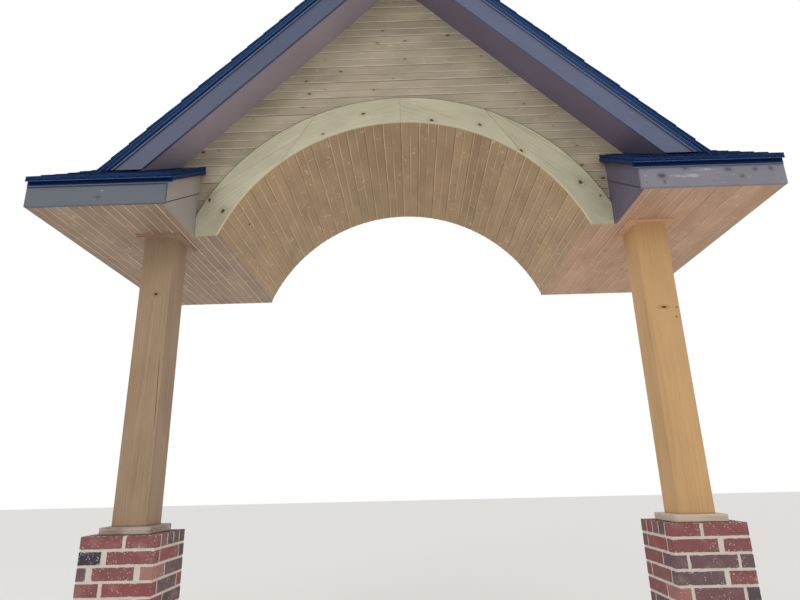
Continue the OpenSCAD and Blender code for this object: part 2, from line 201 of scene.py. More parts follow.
class Nodes:
    """A node tree, with short calls that add to it."""

    def __init__(self, tree: bpy.types.NodeTree) -> None:
        """Keeps the tree."""
        self.tree = tree

    def feed(self, socket: bpy.types.NodeSocket, value: object) -> None:
        """Links a socket to a value of the tree, or sets it to a plain one.

        Args:
            socket: The socket.
            value: What it takes.
        """
        if isinstance(value, Value):
            self.tree.links.new(value.socket, socket)
        else:
            socket.default_value = value

    def add(self, kind: str, output: int | str, inputs: dict[int | str, object] | None = None,
            **settings: object) -> Value:
        """Adds a node.

        Args:
            kind: The node's type.
            output: The wanted output, by its number or name.
            inputs: What its sockets take, by their number or name.
            settings: Its properties.

        Returns:
            The output.
        """
        node = self.tree.nodes.new(kind)
        for name, setting in settings.items():
            setattr(node, name, setting)
        for key, value in (inputs or {}).items():
            self.feed(node.inputs[key], value)
        return Value(self, node.outputs[output])

    def math(self, operation: str, *values: object) -> Value:
        """A math node of one to three values."""
        return self.add("ShaderNodeMath", 0, dict(enumerate(values)), operation=operation)


class Graph(Nodes):
    """The node tree of one finish."""

    def __init__(self, name: str) -> None:
        """Starts a material with a principled shader.

        Args:
            name: The material's name.
        """
        self.material = bpy.data.materials.new(name)
        self.material.use_nodes = True
        super().__init__(self.material.node_tree)
        self.shader = self.tree.nodes["Principled BSDF"]
        self.here = self.add("ShaderNodeTexCoord", "Object")

    def split(self, value: Value) -> tuple[Value, Value, Value]:
        """The x, y and z of a vector."""
        x = self.add("ShaderNodeSeparateXYZ", 0, {0: value})
        return x, x.beside(1), x.beside(2)

    def join(self, x: object, y: object, z: object) -> Value:
        """A vector of three values."""
        return self.add("ShaderNodeCombineXYZ", 0, {0: x, 1: y, 2: z})

    def length(self, x: Value, y: Value) -> Value:
        """The length of a flat vector."""
        return self.add("ShaderNodeVectorMath", "Value", {0: self.join(x, y, 0.0)}, operation="LENGTH")

    def attribute(self, name: str, output: str = "Fac") -> Value:
        """A number stored on the mesh, or with the output Vector three of them."""
        return self.add("ShaderNodeAttribute", output, attribute_name=name)

    def noise(self, at: Value, scale: float, detail: float = 3.0, distortion: float = 0.0) -> Value:
        """Smooth noise from 0 to 1."""
        inputs = {"Vector": at, "Scale": scale, "Detail": detail, "Distortion": distortion}
        return self.add("ShaderNodeTexNoise", 0, inputs)

    def chance(self, value: Value) -> Value:
        """A random number from 0 to 1 for each whole number."""
        return self.add("ShaderNodeTexWhiteNoise", "Value", {"W": value}, noise_dimensions="1D")

    def cells(self, at: Value, scale: float, space: str = "3D") -> tuple[Value, Value, Value]:
        """The distance to the nearest of many scattered points, and two random numbers of its own."""
        distance = self.add("ShaderNodeTexVoronoi", "Distance", {"Vector": at, "Scale": scale},
                            voronoi_dimensions=space)
        return distance, *self.split(distance.beside("Color"))[:2]

    def blend(self, amount: object, first: object, second: object) -> Value:
        """Blends two colours."""
        inputs = {0: amount, 6: first, 7: second}
        return self.add("ShaderNodeMix", 2, inputs, data_type="RGBA", clamp_factor=True)

    def tones(self, value: Value, stops: tuple[tuple[float, Colour], ...]) -> Value:
        """Runs a value through a ramp of colours.

        Args:
            value: The value from 0 to 1.
            stops: Places on the ramp with their colours.

        Returns:
            The colour.
        """
        colour = self.add("ShaderNodeValToRGB", 0, {0: value})
        ramp = colour.socket.node.color_ramp
        while len(ramp.elements) < len(stops):
            ramp.elements.new(0.5)
        for element, (spot, tone) in zip(ramp.elements, stops):
            element.position = spot
            element.color = tone
        return colour

    def tint(self, colour: object, value: Value) -> Value:
        """Changes a colour's brightness."""
        return self.add("ShaderNodeHueSaturation", 0, {"Color": colour, "Value": value})

    def bump(self, height: Value, depth: float, strength: float) -> None:
        """Gives the surface a relief of a depth in metres."""
        inputs = {"Height": height, "Distance": depth, "Strength": strength}
        self.feed(self.shader.inputs["Normal"], self.add("ShaderNodeBump", 0, inputs))

    def finish(self, colour: object, roughness: float, specular: float) -> Material:
        """Sets colour and gloss.

        Args:
            colour: The finished colour.
            roughness: How dull it is.
            specular: How strongly it mirrors.

        Returns:
            The finished material.
        """
        inputs = {"Base Color": colour, "Roughness": roughness, "Specular IOR Level": specular}
        for name, value in inputs.items():
            self.feed(self.shader.inputs[name], value)
        return self.material


@dataclass(frozen=True)
class Spot:
    """A knot, nail stain or scratch: its place on a face, its half sizes, and how much it shows."""

    across: float
    along: float
    half_across: float
    half_along: float
    strength: float = 1.0

    def mask(self, graph: Graph, across: Value, along: Value, spread: float = 1.0) -> Value:
        """The spot as a soft mask, as large as its size times the spread."""
        offsets = [(at - centre) / (half * spread) for at, centre, half in (
            (across, self.across, self.half_across), (along, self.along, self.half_along))]
        return graph.length(*offsets).span(0.65, 1.05, self.strength, 0.0)

    def paint(self, graph: Graph, colour: Value, at: tuple[Value, Value], halo: tuple[float, float, Colour],
              core: Colour) -> Value:
        """Paints the spot and a faint halo round it.

        Args:
            graph: The finish's tree.
            colour: The colour below.
            at: Place across and along the grain.
            halo: The halo's spread, strength and colour.
            core: The spot's colour.

        Returns:
            The new colour.
        """
        spread, strength, tone = halo
        colour = graph.blend(self.mask(graph, *at, spread) * strength, colour, tone)
        return graph.blend(self.mask(graph, *at), colour, core)


@dataclass(frozen=True)
class Grain:
    """Colours and scale of the grain of one sort of timber."""

    light: Colour
    dark: Colour
    knot: Colour
    rings_per_metre: float
    stretch: float
    contrast: float
    wobble: float = 0.16
    bend: float = mm(16)

    def colour(self, graph: Graph, across: Value, along: Value, depth: Value,
               knots: tuple[Spot, ...] = ()) -> tuple[Value, Value]:
        """Adds the grain's nodes.

        Args:
            graph: The finish's tree.
            across: Place across the grain.
            along: Place along the grain.
            depth: Place through the board, or a number of its own for each board.
            knots: Knots at given places, which bend the rings round them.

        Returns:
            The colour and the grain's relief.
        """
        place = graph.join(across, along * self.stretch, depth)
        rings_at = graph.noise(place, scale=9.0, detail=2.0) * self.wobble + across
        for knot in knots:
            rings_at = knot.mask(graph, across, along, spread=4.0) * self.bend + rings_at
        rings = graph.math("FRACT", rings_at * self.rings_per_metre)
        clear = graph.noise(graph.join(across, along * 0.3, depth), scale=7.0).span(0.4, 0.6, 0.1, 1.0)
        ring = rings.span(0.15, 0.85) * rings.span(0.9, 1.0, 1.0, 0.0) * clear * self.contrast
        fibre = graph.noise(place, scale=260.0, detail=2.0)
        blotch = graph.noise(place, scale=3.0, detail=2.0)
        mixed = ring + fibre * 0.3 + blotch * 0.5
        colour = graph.blend(mixed.span(0.15, 0.95), self.light, self.dark)
        for knot in knots:
            colour = knot.paint(graph, colour, (across, along), (2.6, 0.5, self.dark), self.knot)
        return colour, ring + fibre * 0.5


@dataclass(frozen=True)
class Bead:
    """The section of beaded boards: places and depths of the lines at each joint and middle, in mm."""

    half_board: float = mm(63.5)
    joint: tuple[Pair, ...] = (
        (-2.2, 0.0), (0.0, 3.4), (1.8, 1.2), (4.0, 0.1), (6.2, 1.2), (7.4, 2.4), (9.0, 0.0))
    middle: tuple[Pair, ...] = (
        (-4.8, 0.0), (-3.4, 1.8), (-2.2, 0.8), (0.0, 0.1), (2.2, 0.8), (3.4, 1.8), (4.8, 0.0))
    least_gap: float = mm(0.5)

    def stops(self, low: float, high: float, origin: float = 0.0, step: float = math.inf) -> list[Pair]:
        """Places across the boards with the depth of the surface there.

        Args:
            low: Where the boards start.
            high: Where they end.
            origin: Where a joint lies.
            step: The widest gap between two places.

        Returns:
            Pairs of place and depth, from low to high.
        """
        coarse = [(low, 0.0)]
        line = math.floor((low - origin) / self.half_board)
        while origin + line * self.half_board < high + self.half_board:
            for offset, depth in self.joint if line % 2 == 0 else self.middle:
                at = origin + line * self.half_board + mm(offset)
                if coarse[-1][0] + self.least_gap < at < high - self.least_gap:
                    coarse.append((at, mm(depth)))
            line += 1
        coarse.append((high, 0.0))
        fine = [coarse[0]]
        for (start, depth), (end, next_depth) in zip(coarse, coarse[1:]):
            count = max(1, math.ceil((end - start) / step))
            for share in (index / count for index in range(1, count + 1)):
                fine.append((start + (end - start) * share, depth + (next_depth - depth) * share))
        return fine


BEAD = Bead()


@dataclass(frozen=True)
class BeadBoards:
    """Beaded tongue-and-groove boards, with a painted highlight on each bead and painted shade in each
    groove.
    """

    name: str
    grain: Grain
    run: Run
    # The next colour is painted shade in the grooves; the one after is the painted highlight on the beads and
    # also the pale flecks' colour.
    groove: Colour
    edge: Colour
    knot_share: float
    # Strengths of the painted shade in the grooves and of the painted highlight on the beads.
    line_dark: float = 0.8
    line_light: float = 0.8
    fleck: float = 0.4
    mottle: float = 0.5
    least_line: float = 0.4
    spread: float = 0.07
    board_shift: float = 7.3

    def place(self, graph: Graph) -> tuple[Value, Value]:
        """Finds the place on the boards.

        Args:
            graph: The finish's tree.

        Returns:
            The place across and along them.
        """
        x, y, z = graph.split(graph.here)
        if self.run is Run.ROUND_VAULT:
            return graph.math("ARCTAN2", x, z - PORCH.vault_z) * PORCH.vault_r, y
        return (z - PORCH.soffit_z, x) if self.run is Run.ALONG_X else (abs(x), y)

    def material(self) -> Material:
        """Builds the finish of boards that each have a number of their own.

        Returns:
            The finish.
        """
        graph = Graph(self.name)
        across, along = self.place(graph)
        number = graph.chance(graph.math("FLOOR", across / (2 * BEAD.half_board)))
        apart = number * self.board_shift
        shifted = along + apart
        colour, relief = self.grain.colour(graph, across, shifted, apart)
        colour = graph.tint(colour, number * (2 * self.spread) + (1.0 - self.spread))
        colour = self.knots(graph, colour, graph.join(across, shifted * 0.55, apart))
        colour = self.flecks(graph, colour, graph.join(across, shifted * 0.9, apart))
        cloud = graph.noise(graph.join(across, shifted * 0.5, apart), scale=6.0)
        colour = graph.tint(colour, cloud * self.mottle + (1.0 - self.mottle / 2))
        colour = self.lines(graph, colour, across, along)
        graph.bump(relief, depth=mm(0.3), strength=0.4)
        return graph.finish(colour, roughness=0.55, specular=0.25)

    def knots(self, graph: Graph, colour: Value, at: Value) -> Value:
        """Adds knots with their darker surrounds.

        Args:
            graph: The finish's tree.
            colour: The colour below.
            at: The place on the board.

        Returns:
            The new colour.
        """
        distance, chance, growth = graph.cells(at, 7.0, "2D")
        wanted = chance < self.knot_share
        near = distance / (growth * growth * 0.05 + 0.022)
        colour = graph.blend(near.span(1.0, 3.2, 0.35, 0.0) * wanted, colour, self.grain.dark)
        return graph.blend(near.span(0.6, 1.1, 0.85, 0.0) * wanted, colour, self.grain.knot)

    def flecks(self, graph: Graph, colour: Value, at: Value) -> Value:
        """Adds small pale dents and resin marks: short wavy strokes, in clusters.

        Args:
            graph: The finish's tree.
            colour: The colour below.
            at: The place on the board.

        Returns:
            The new colour.
        """
        stroke = graph.noise(at, scale=19.0).stripe(0.5, 0.055)
        short = graph.noise(at, scale=21.0, detail=2.0, distortion=0.6).span(0.6, 0.65)
        cluster = graph.noise(at, scale=2.6, detail=2.0).span(0.4, 0.58)
        return graph.blend(stroke * short * cluster * self.fleck, colour, self.edge)

    def lines(self, graph: Graph, colour: Value, across: Value, along: Value) -> Value:
        """Paints a highlight on the bead and shade in the groove of each line, stronger here and weaker
        there.

        Args:
            graph: The finish's tree.
            colour: The colour below.
            across: Place across the boards.
            along: Place along them.

        Returns:
            The new colour.
        """
        half = BEAD.half_board
        joint, middle = (graph.math("WRAP", at, half, -half) for at in (across, across + half))
        line = graph.math("ROUND", across / half) * 3.7
        # Painted highlight on each bead, then painted shade in each groove.
        for tone, strength, shift, at_joint, at_middle, weaker in (
                (self.edge, self.line_light, 0.0, (5.4, 5.2), (0.8, 5.0), 0.85),
                (self.groove, self.line_dark, 9.0, (-0.6, 4.2), (-4.4, 3.6), 0.65)):
            shown = joint.stripe(*map(mm, at_joint), strength).larger(
                middle.stripe(*map(mm, at_middle), strength * weaker))
            patchy = graph.noise(graph.join(line, along * 1.6, shift), scale=1.3)
            colour = graph.blend(shown * patchy.span(0.36, 0.62, self.least_line, 1.0), colour, tone)
        return colour


@dataclass(frozen=True)
class Crack:
    """A drying check in the front of a post, from its top to its foot."""

    top: Pair
    foot: Pair
    width: float

    def mask(self, graph: Graph, x: Value, z: Value) -> Value:
        """The check as a mask over the front face.

        Args:
            graph: The finish's tree.
            x: Place across the post.
            z: Place up the post.

        Returns:
            The mask.
        """
        (top_x, top_z), (foot_x, foot_z) = self.top, self.foot
        line = (z - top_z) * ((foot_x - top_x) / (foot_z - top_z)) + top_x
        wobble = (graph.noise(graph.here, scale=12.0, detail=2.0) - 0.5) * mm(6)
        ends = z.stripe((top_z + foot_z) / 2, abs(top_z - foot_z) / 2 * 1.05)
        return abs(x - (line + wobble)).span(self.width * 0.4, self.width, 0.9, 0.0) * ends


@dataclass(frozen=True)
class SolidTimber:
    """Plain timber with its grain along one axis."""

    name: str
    grain: Grain
    run: Run
    knots: tuple[Spot, ...] = ()
    checks: tuple[Crack, ...] = ()
    mottle: float = 0.2
    weathering: float = 0.0
    grey: Colour = shade(206, 198, 187)
    roughness: float = 0.6

    def material(self) -> Material:
        """Builds the timber's finish.

        Returns:
            The finish.
        """
        graph = Graph(self.name)
        x, y, z = graph.split(graph.here)
        across, along, depth = {
            Run.ALONG_X: (y * 0.5 + z, x, y), Run.ALONG_Y: (z * 0.5 + x, y, z), Run.ALONG_Z: (x, z, y),
        }[self.run]
        colour, relief = self.grain.colour(graph, across, along, depth, self.knots)
        cloud = graph.noise(graph.join(across, along * 0.35, depth), scale=7.0, detail=5.0)
        colour = graph.tint(colour, cloud * self.mottle + (1.0 - self.mottle / 2))
        for check in self.checks:
            colour = graph.blend(check.mask(graph, x, z), colour, self.grain.knot)
        if self.weathering:
            drawn = graph.join(along * 0.3, across, depth)
            worn = graph.noise(drawn, scale=22.0, detail=5.0).span(0.42, 0.62)
            colour = graph.blend(worn * self.weathering, colour, self.grey)
            split = graph.noise(drawn, scale=60.0).span(0.64, 0.7)
            colour = graph.blend(split * self.weathering, colour, self.grain.knot)
        graph.bump(relief, depth=mm(0.6), strength=0.5)
        return graph.finish(colour, roughness=self.roughness, specular=0.25)


@dataclass(frozen=True)
class TrimBoards:
    """Treated pine of the arch, whose straight grain turns from board to board."""

    name: str
    grain: Grain
    knots: tuple[Spot, ...]
    joint_angle: float = math.radians(29)
    joint_lean: float = math.radians(62)
    inner_slope: float = math.radians(18)
    outer_slope: float = math.radians(38)
    board_w: float = mm(190)
    # The rim colour and its width are a painted highlight along the lit inner edge.
    rim: Colour = shade(214, 206, 176)
    rim_w: float = mm(5)
    torn: float = mm(24)

    def material(self) -> Material:
        """Builds the finish, with each knot at its arc length from the crown and its place up the board, a
        painted shadow along the outer edge and a painted highlight along the inner one.

        Returns:
            The finish.
        """
        graph = Graph(self.name)
        x, _, z = graph.split(graph.here)
        up = z - PORCH.vault_z
        side, radius = graph.math("SIGN", x), graph.length(x, up)
        middle, tilt = PORCH.vault_r + self.board_w / 2, self.joint_lean - self.joint_angle
        beyond = abs(x) * math.cos(tilt) + (up * math.sin(tilt) - middle * math.sin(self.joint_lean))
        board = beyond > 0.0
        turn = (board * (self.outer_slope - self.inner_slope) + self.inner_slope) * side
        sine, cosine = graph.math("SINE", turn), graph.math("COSINE", turn)
        along, across = x * cosine - up * sine, x * sine + up * cosine
        number = board * 3.1 + side * 1.7
        colour, relief = self.grain.colour(graph, across, along, number)
        arc, height = graph.math("ARCTAN2", x, up) * PORCH.vault_r, radius - PORCH.vault_r
        # Painted shadow along the outer edge where the trim meets the gable boards, and dark lines at the
        # board joints and the crown.
        edge_shade_and_joints = height.stripe(self.board_w, mm(6), 0.75)
        edge_shade_and_joints = edge_shade_and_joints.larger(beyond.stripe(0.0, mm(3), 0.25)).larger(x.stripe(0.0, mm(3), 0.2))
        colour = graph.blend(edge_shade_and_joints, colour, self.grain.knot)
        cloud = graph.noise(graph.join(across, along * 0.5, number), scale=9.0, detail=4.0)
        colour = graph.tint(colour, cloud * 0.4 + 0.78)
        ragged = graph.noise(graph.here, scale=60.0, detail=2.0) * self.torn - self.torn / 2
        at = (arc + ragged, height - ragged * 0.6)
        for knot in self.knots:
            colour = knot.paint(graph, colour, at, (2.8, 0.4, self.grain.dark), self.grain.knot)
        # Painted highlight along the inner edge.
        colour = graph.blend(height.span(0.0, self.rim_w, 0.7, 0.0), colour, self.rim)
        graph.bump(relief, depth=mm(0.4), strength=0.4)
        return graph.finish(colour, roughness=0.6, specular=0.25)


@dataclass(frozen=True)
class Stain:
    """Opaque stain on fascia boards, with streaks, worn patches, and marks placed by their z and x."""

    name: str
    colour: Colour
    worn: Colour
    wear: float
    run: Run
    dark_marks: tuple[Spot, ...] = ()
    light_marks: tuple[Spot, ...] = ()
    mark: Colour = shade(58, 52, 56)
    seam_z: float | None = None
    torn: float = mm(24)

    def material(self) -> Material:
        """Builds the stain; a seam runs up the main slope from its z at the wall.

        Returns:
            The finish.
        """
        graph = Graph(self.name)
        x, y, z = graph.split(graph.here)
        along = x if self.run is Run.ALONG_X else y
        streak = graph.noise(graph.join(along * 0.06, y, z), scale=60.0)
        cloud = graph.noise(graph.here, scale=4.0, detail=4.0) - 0.5
        colour = graph.tint(self.colour, cloud * (0.3 + 0.4 * self.wear) + streak * 0.14 + 0.93)
        patch = graph.noise(graph.join(along * 0.35, y, z), scale=46.0, detail=6.0, distortion=0.4)
        gone = patch.span(0.72 - 0.12 * self.wear, 0.8 - 0.12 * self.wear)
        colour = graph.blend(gone * 0.7, colour, self.worn)
        ragged = graph.noise(graph.here, scale=70.0) * self.torn - self.torn / 2
        at = (z - ragged, x + ragged)
        thin = graph.noise(graph.join(x * 0.15, y, z), scale=120.0).span(0.38, 0.56)
        for spot in self.light_marks:
            colour = graph.blend(spot.mask(graph, *at) * thin, colour, self.worn)
        for spot in self.dark_marks:
            colour = spot.paint(graph, colour, at, (1.9, 0.3, self.mark), self.mark)
        if self.seam_z is not None:
            level = z - y * MAIN_SLOPE
            colour = graph.blend(level.stripe(self.seam_z, mm(5), 0.8), colour, self.mark)
        graph.bump(streak, depth=mm(0.4), strength=0.4)
        return graph.finish(colour, roughness=0.5, specular=0.35)


@dataclass(frozen=True)
class Brick:
    """Fired clay bricks, each with a tone of its own; middle is the distance and the y of a pier's axis."""

    name: str
    middle: Pair
    half: float
    corner: float = mm(15)
    lap: Pair = (mm(-9.8), mm(9.2))
    mortar: Colour = shade(202, 192, 182)
    blush: Colour = shade(176, 138, 130)
    specks: Colour = shade(206, 190, 184)
    clay: tuple[tuple[float, Colour], ...] = (
        (0.0, shade(60, 60, 70)),
        (0.22, shade(98, 84, 87)),
        (0.45, shade(118, 86, 87)),
        (0.7, shade(136, 80, 79)),
        (0.88, shade(148, 96, 92)),
        (1.0, shade(164, 124, 116)),
    )

    def material(self) -> Material:
        """Builds the clay's colours, mortar smears, specks and pits.

        Returns:
            The finish.
        """
        graph = Graph(self.name)
        cloud = graph.noise(graph.here, scale=16.0, detail=5.0)
        grit = graph.noise(graph.here, scale=420.0, detail=2.0)
        colour = graph.tint(graph.tones(graph.attribute("tone"), self.clay), cloud * 0.5 + 0.78)
        colour = graph.tint(colour, grit * 0.4 + 0.8)
        blush = graph.noise(graph.here, scale=9.0).span(0.5, 0.72)
        colour = graph.blend(blush * 0.3, colour, self.blush)
        distance, chance, growth = graph.cells(graph.here, 125.0)
        speck = (distance / (growth * growth * 0.3 + 0.2)).span(0.5, 1.0, 0.8, 0.0)
        salted = graph.noise(graph.here, scale=14.0, detail=2.0).span(0.4, 0.55)
        colour = graph.blend(speck * (chance < 0.6) * salted, colour, self.specks)
        colour = graph.blend(self.smeared(graph), colour, self.mortar)
        graph.bump(grit * 0.35 + cloud * 0.65, depth=mm(2.5), strength=0.9)
        return graph.finish(colour, roughness=0.85, specular=0.2)

    def smeared(self, graph: Graph) -> Value:
        """Where mortar laps raggedly over a brick's edges, but not over those at the pier's corners.

        Args:
            graph: The finish's tree.

        Returns:
            1 under mortar, or else 0.
        """
        x, y, _ = graph.split(graph.here)
        local, size = (graph.split(graph.attribute(name, "Vector")) for name in ("local", "size"))
        facing = graph.split(graph.add("ShaderNodeNewGeometry", "True Normal"))
        offsets = (abs(x) - self.middle[0], y - self.middle[1], None)
        edge: object = 1.0
        for at, extent, normal, offset in zip(local, size, facing, offsets):
            inside = (abs(at) * -1.0 + 0.5) * extent + (abs(normal) > 0.5)
            if offset is not None:
                inside = inside + (abs(offset) > self.half - self.corner)
            edge = graph.math("MINIMUM", edge, inside)
        shortest, longest = self.lap
        reach = graph.noise(graph.here, scale=42.0, detail=4.0) * (longest - shortest) + shortest
        return (edge - reach).span(mm(-1.2), mm(1.2), 1.0, 0.0)


@dataclass(frozen=True)
class Mortar:
    """Light sandy mortar."""

    name: str
    colour: Colour = shade(208, 198, 187)

    def material(self) -> Material:
        """Builds the mortar's sand and stains.

        Returns:
            The finish.
        """
        graph = Graph(self.name)
        sand = graph.noise(graph.here, scale=520.0, detail=2.0)
        cloud = graph.noise(graph.here, scale=22.0, detail=4.0)
        colour = graph.tint(graph.tint(self.colour, sand * 0.35 + 0.8), cloud * 0.35 + 0.84)
        graph.bump(sand * 0.4 + cloud, depth=mm(2.0), strength=0.8)
        return graph.finish(colour, roughness=0.9, specular=0.15)


@dataclass(frozen=True)
class Shingle:
    """Asphalt shingles with mineral granules."""

    name: str
    granule: Colour = shade(112, 132, 170)
    blend: tuple[tuple[float, Colour], ...] = (
        (0.0, shade(9, 22, 46)),
        (0.45, shade(18, 42, 80)),
        (0.85, shade(30, 60, 108)),
        (1.0, shade(58, 92, 142)),
    )

    def material(self) -> Material:
        """Builds the granules and the tone of each tab.

        Returns:
            The finish.
        """
        graph = Graph(self.name)
        distance, chance, _ = graph.cells(graph.here, 380.0)
        colour = graph.tint(graph.tones(graph.attribute("tone"), self.blend), chance * 0.9 + 0.55)
        colour = graph.blend((chance > 0.94) * 0.25, colour, self.granule)
        graph.bump(distance, depth=mm(1.0), strength=0.8)
        return graph.finish(colour, roughness=0.9, specular=0.08)


@dataclass(frozen=True)
class DripPaint:
    """Dark paint on a drip edge, with a painted highlight on its hem below and a painted reflection on its
    bend above.
    """

    name: str
    left: Colour
    right: Colour
    hem_z: float
    fall: float
    front: float
    bend_z: float | None = None
    # Colours of the painted highlight on the hem and of the painted reflection on the bend.
    hem: Colour = shade(112, 124, 148)
    bend: Colour = shade(84, 118, 164)

    def material(self) -> Material:
        """Builds the paint, the painted highlight on the hem and the painted reflection on the bend; these
        lie past levels that fall away from the centre.

        Returns:
            The finish.
        """
        graph = Graph(self.name)
        x, y, z = graph.split(graph.here)
        level = abs(x) * self.fall + z
        # The right colour may be a lighter copy of the left, as painted light.
        colour = graph.blend(x > 0.0, self.left, self.right)
        if self.bend_z is not None:
            # Painted reflection on the bend.
            colour = graph.blend(level > self.bend_z, colour, self.bend)
        # Painted highlight on the hem.
        colour = graph.blend((level < self.hem_z) * (y < self.front), colour, self.hem)
        colour = graph.tint(colour, graph.noise(graph.here, scale=26.0, detail=5.0) * 0.3 + 0.85)
        return graph.finish(colour, roughness=0.4, specular=0.08)


@dataclass(frozen=True)
class Plain:
    """One even colour, such as nail heads have."""

    name: str
    colour: Colour
    roughness: float = 0.5

    def material(self) -> Material:
        """Builds the colour."""
        return Graph(self.name).finish(self.colour, self.roughness, 0.3)


@dataclass(frozen=True)
class Plywood:
    """Rough roof boards, painted along the edge in front of a line."""

    name: str
    edge_y: float
    light: Colour = shade(206, 172, 124)
    dark: Colour = shade(150, 108, 68)
    paint: Colour = shade(22, 30, 56)

    def material(self) -> Material:
        """Builds the veneer's broad grain.

        Returns:
            The finish.
        """
        graph = Graph(self.name)
        x, y, z = graph.split(graph.here)
        place = graph.join(x, y * 0.15, z)
        broad = graph.noise(place, scale=12.0, detail=4.0, distortion=1.5)
        fibre = graph.noise(place, scale=180.0, detail=2.0)
        colour = graph.blend((fibre * 0.3 + broad * 0.8).span(0.25, 0.85), self.light, self.dark)
        colour = graph.blend(y < self.edge_y, colour, self.paint)
        graph.bump(fibre, depth=mm(0.6), strength=0.5)
        return graph.finish(colour, roughness=0.75, specular=0.2)


PINE_KNOT = shade(62, 42, 28)


def board_grain(light: Colour, dark: Colour) -> Grain:
    """The faint grain of the beaded boards."""
    return Grain(light, dark, PINE_KNOT, 80.0, 0.05, 0.1)


def arch_knot(degrees: float, up: float, half_arc: float, half_up: float) -> Spot:
    """A knot of the arch trim by its angle from the crown and its height over the inner edge, in mm."""
    return Spot(math.radians(degrees) * PORCH.vault_r, mm(up), mm(half_arc), mm(half_up), 0.9)


def post_knot(x: float, down: float, half_x: float, half_z: float) -> Spot:
    """A knot of a post by its x and its depth below the soffit, in mm."""
    return Spot(mm(x), PORCH.soffit_z - mm(down), mm(half_x), mm(half_z))


def fascia_mark(x: float, up: float, half_x: float, half_up: float, strength: float) -> Spot:
    """A mark of an eave fascia by its x and its height over the soffit, in mm."""
    return Spot(PORCH.soffit_z + mm(up), mm(x), mm(half_up), mm(half_x), strength)


VAULT_BOARDS = BeadBoards(
    "vault boards", board_grain(shade(174, 147, 113), shade(154, 125, 93)), Run.ROUND_VAULT,
    shade(104, 76, 54), shade(222, 194, 158), 0.06, 0.5, 0.95, fleck=0.7, mottle=0.6)
# One timber on both sides: the left copy's darker, cooler tones are painted shade and the right copy's
# lighter, warmer tones are painted light.
SOFFIT_BOARDS = {
    Side.LEFT: BeadBoards(
        "soffit boards left", board_grain(shade(160, 137, 117), shade(140, 115, 94)), Run.ALONG_Y,
        shade(92, 70, 56), shade(230, 209, 184), 0.05, 0.6, 0.9, mottle=0.7, least_line=0.6),
    Side.RIGHT: BeadBoards(
        "soffit boards right", board_grain(shade(190, 155, 128), shade(168, 131, 104)), Run.ALONG_Y,
        shade(112, 80, 60), shade(230, 200, 172), 0.05, 0.4, 0.75, mottle=0.6),
}
GABLE_BOARDS = BeadBoards(
    "gable boards", board_grain(shade(164, 152, 132), shade(142, 129, 109)), Run.ALONG_X,
    shade(84, 70, 58), shade(212, 202, 182), 0.75, fleck=0.2, mottle=0.8)
TRIM_PINE = TrimBoards(
    "arch trim pine", Grain(shade(190, 184, 160), shade(154, 147, 121), PINE_KNOT, 66.0, 0.05, 0.26), (
        arch_knot(-59.3, 168, 17, 12), arch_knot(-60.4, 48, 18, 13), arch_knot(-23.5, 30, 9, 7),
        arch_knot(-10.5, 92, 15, 10), arch_knot(9.2, 16, 15, 11), arch_knot(23.1, 62, 14, 9),
        arch_knot(37.4, 14, 14, 9), arch_knot(55.6, 108, 20, 14), arch_knot(61.6, 152, 8, 7),
    ))
CEDAR = {
    Side.LEFT: SolidTimber(
        "cedar post left",
        Grain(shade(160, 135, 109), shade(134, 108, 84), shade(70, 44, 28), 48.0, 0.03, 0.2),
        Run.ALONG_Z, (post_knot(-1549, 390, 13, 9),),
        (Crack((-1.487, PORCH.soffit_z - 0.753), (-1.473, PORCH.soffit_z - 1.225), mm(2.6)),), mottle=0.5),
    Side.RIGHT: SolidTimber(
        "cedar post right",
        Grain(shade(197, 159, 112), shade(173, 133, 88), shade(92, 56, 30), 48.0, 0.03, 0.16),
        Run.ALONG_Z, (post_knot(1564.5, 565, 20, 8), post_knot(1642, 568, 6, 4), post_knot(1630, 628, 5, 4)),
        mottle=0.3),
}
COLLARS = {
    side: SolidTimber(
        f"collar boards {side.word}", Grain(light, dark, PINE_KNOT, 60.0, 0.06, 0.3), Run.ALONG_X)
    for side, light, dark in (
        (Side.LEFT, shade(168, 138, 116), shade(136, 104, 82)),
        (Side.RIGHT, shade(214, 172, 134), shade(184, 138, 100)),
    )
}
PLATES = {
    side: SolidTimber(
        f"weathered plate {side.word}", Grain(light, dark, knot, 50.0, 0.05, contrast), Run.ALONG_X,
        weathering=weathering, roughness=0.8)
    for side, light, dark, knot, contrast, weathering in (
        (Side.LEFT, shade(180, 166, 150), shade(128, 112, 98), shade(70, 58, 50), 0.4, 0.55),
        (Side.RIGHT, shade(210, 196, 176), shade(184, 169, 149), shade(96, 84, 72), 0.3, 0.15),
    )
}
EAVE_STAIN = {
    Side.LEFT: Stain(
        "eave stain left", shade(85, 92, 100), shade(170, 170, 168), 0.0, Run.ALONG_X,
        (fascia_mark(-1728, 47, 13, 9, 0.7),), (fascia_mark(-1710, 84, 8, 8, 0.6),)),
    Side.RIGHT: Stain(
        "eave stain right", shade(124, 121, 132), shade(188, 182, 184), 0.5, Run.ALONG_X,
        (
            fascia_mark(1463, 68, 20, 17, 0.7), fascia_mark(1474, 30, 9, 12, 0.5),
            fascia_mark(1600, 112, 16, 9, 0.5), fascia_mark(1905, 52, 13, 11, 0.6),
            fascia_mark(1836, 98, 22, 13, 0.6), fascia_mark(1986, 93, 14, 12, 0.6),
            fascia_mark(2075, 96, 12, 11, 0.6),
        ),
        (fascia_mark(1600, 66, 100, 13, 0.5), fascia_mark(1700, 100, 60, 9, 0.5))),
}
SEAM_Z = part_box("return_infill_right")[1].z - MAIN_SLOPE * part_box("return_infill_right")[1].y
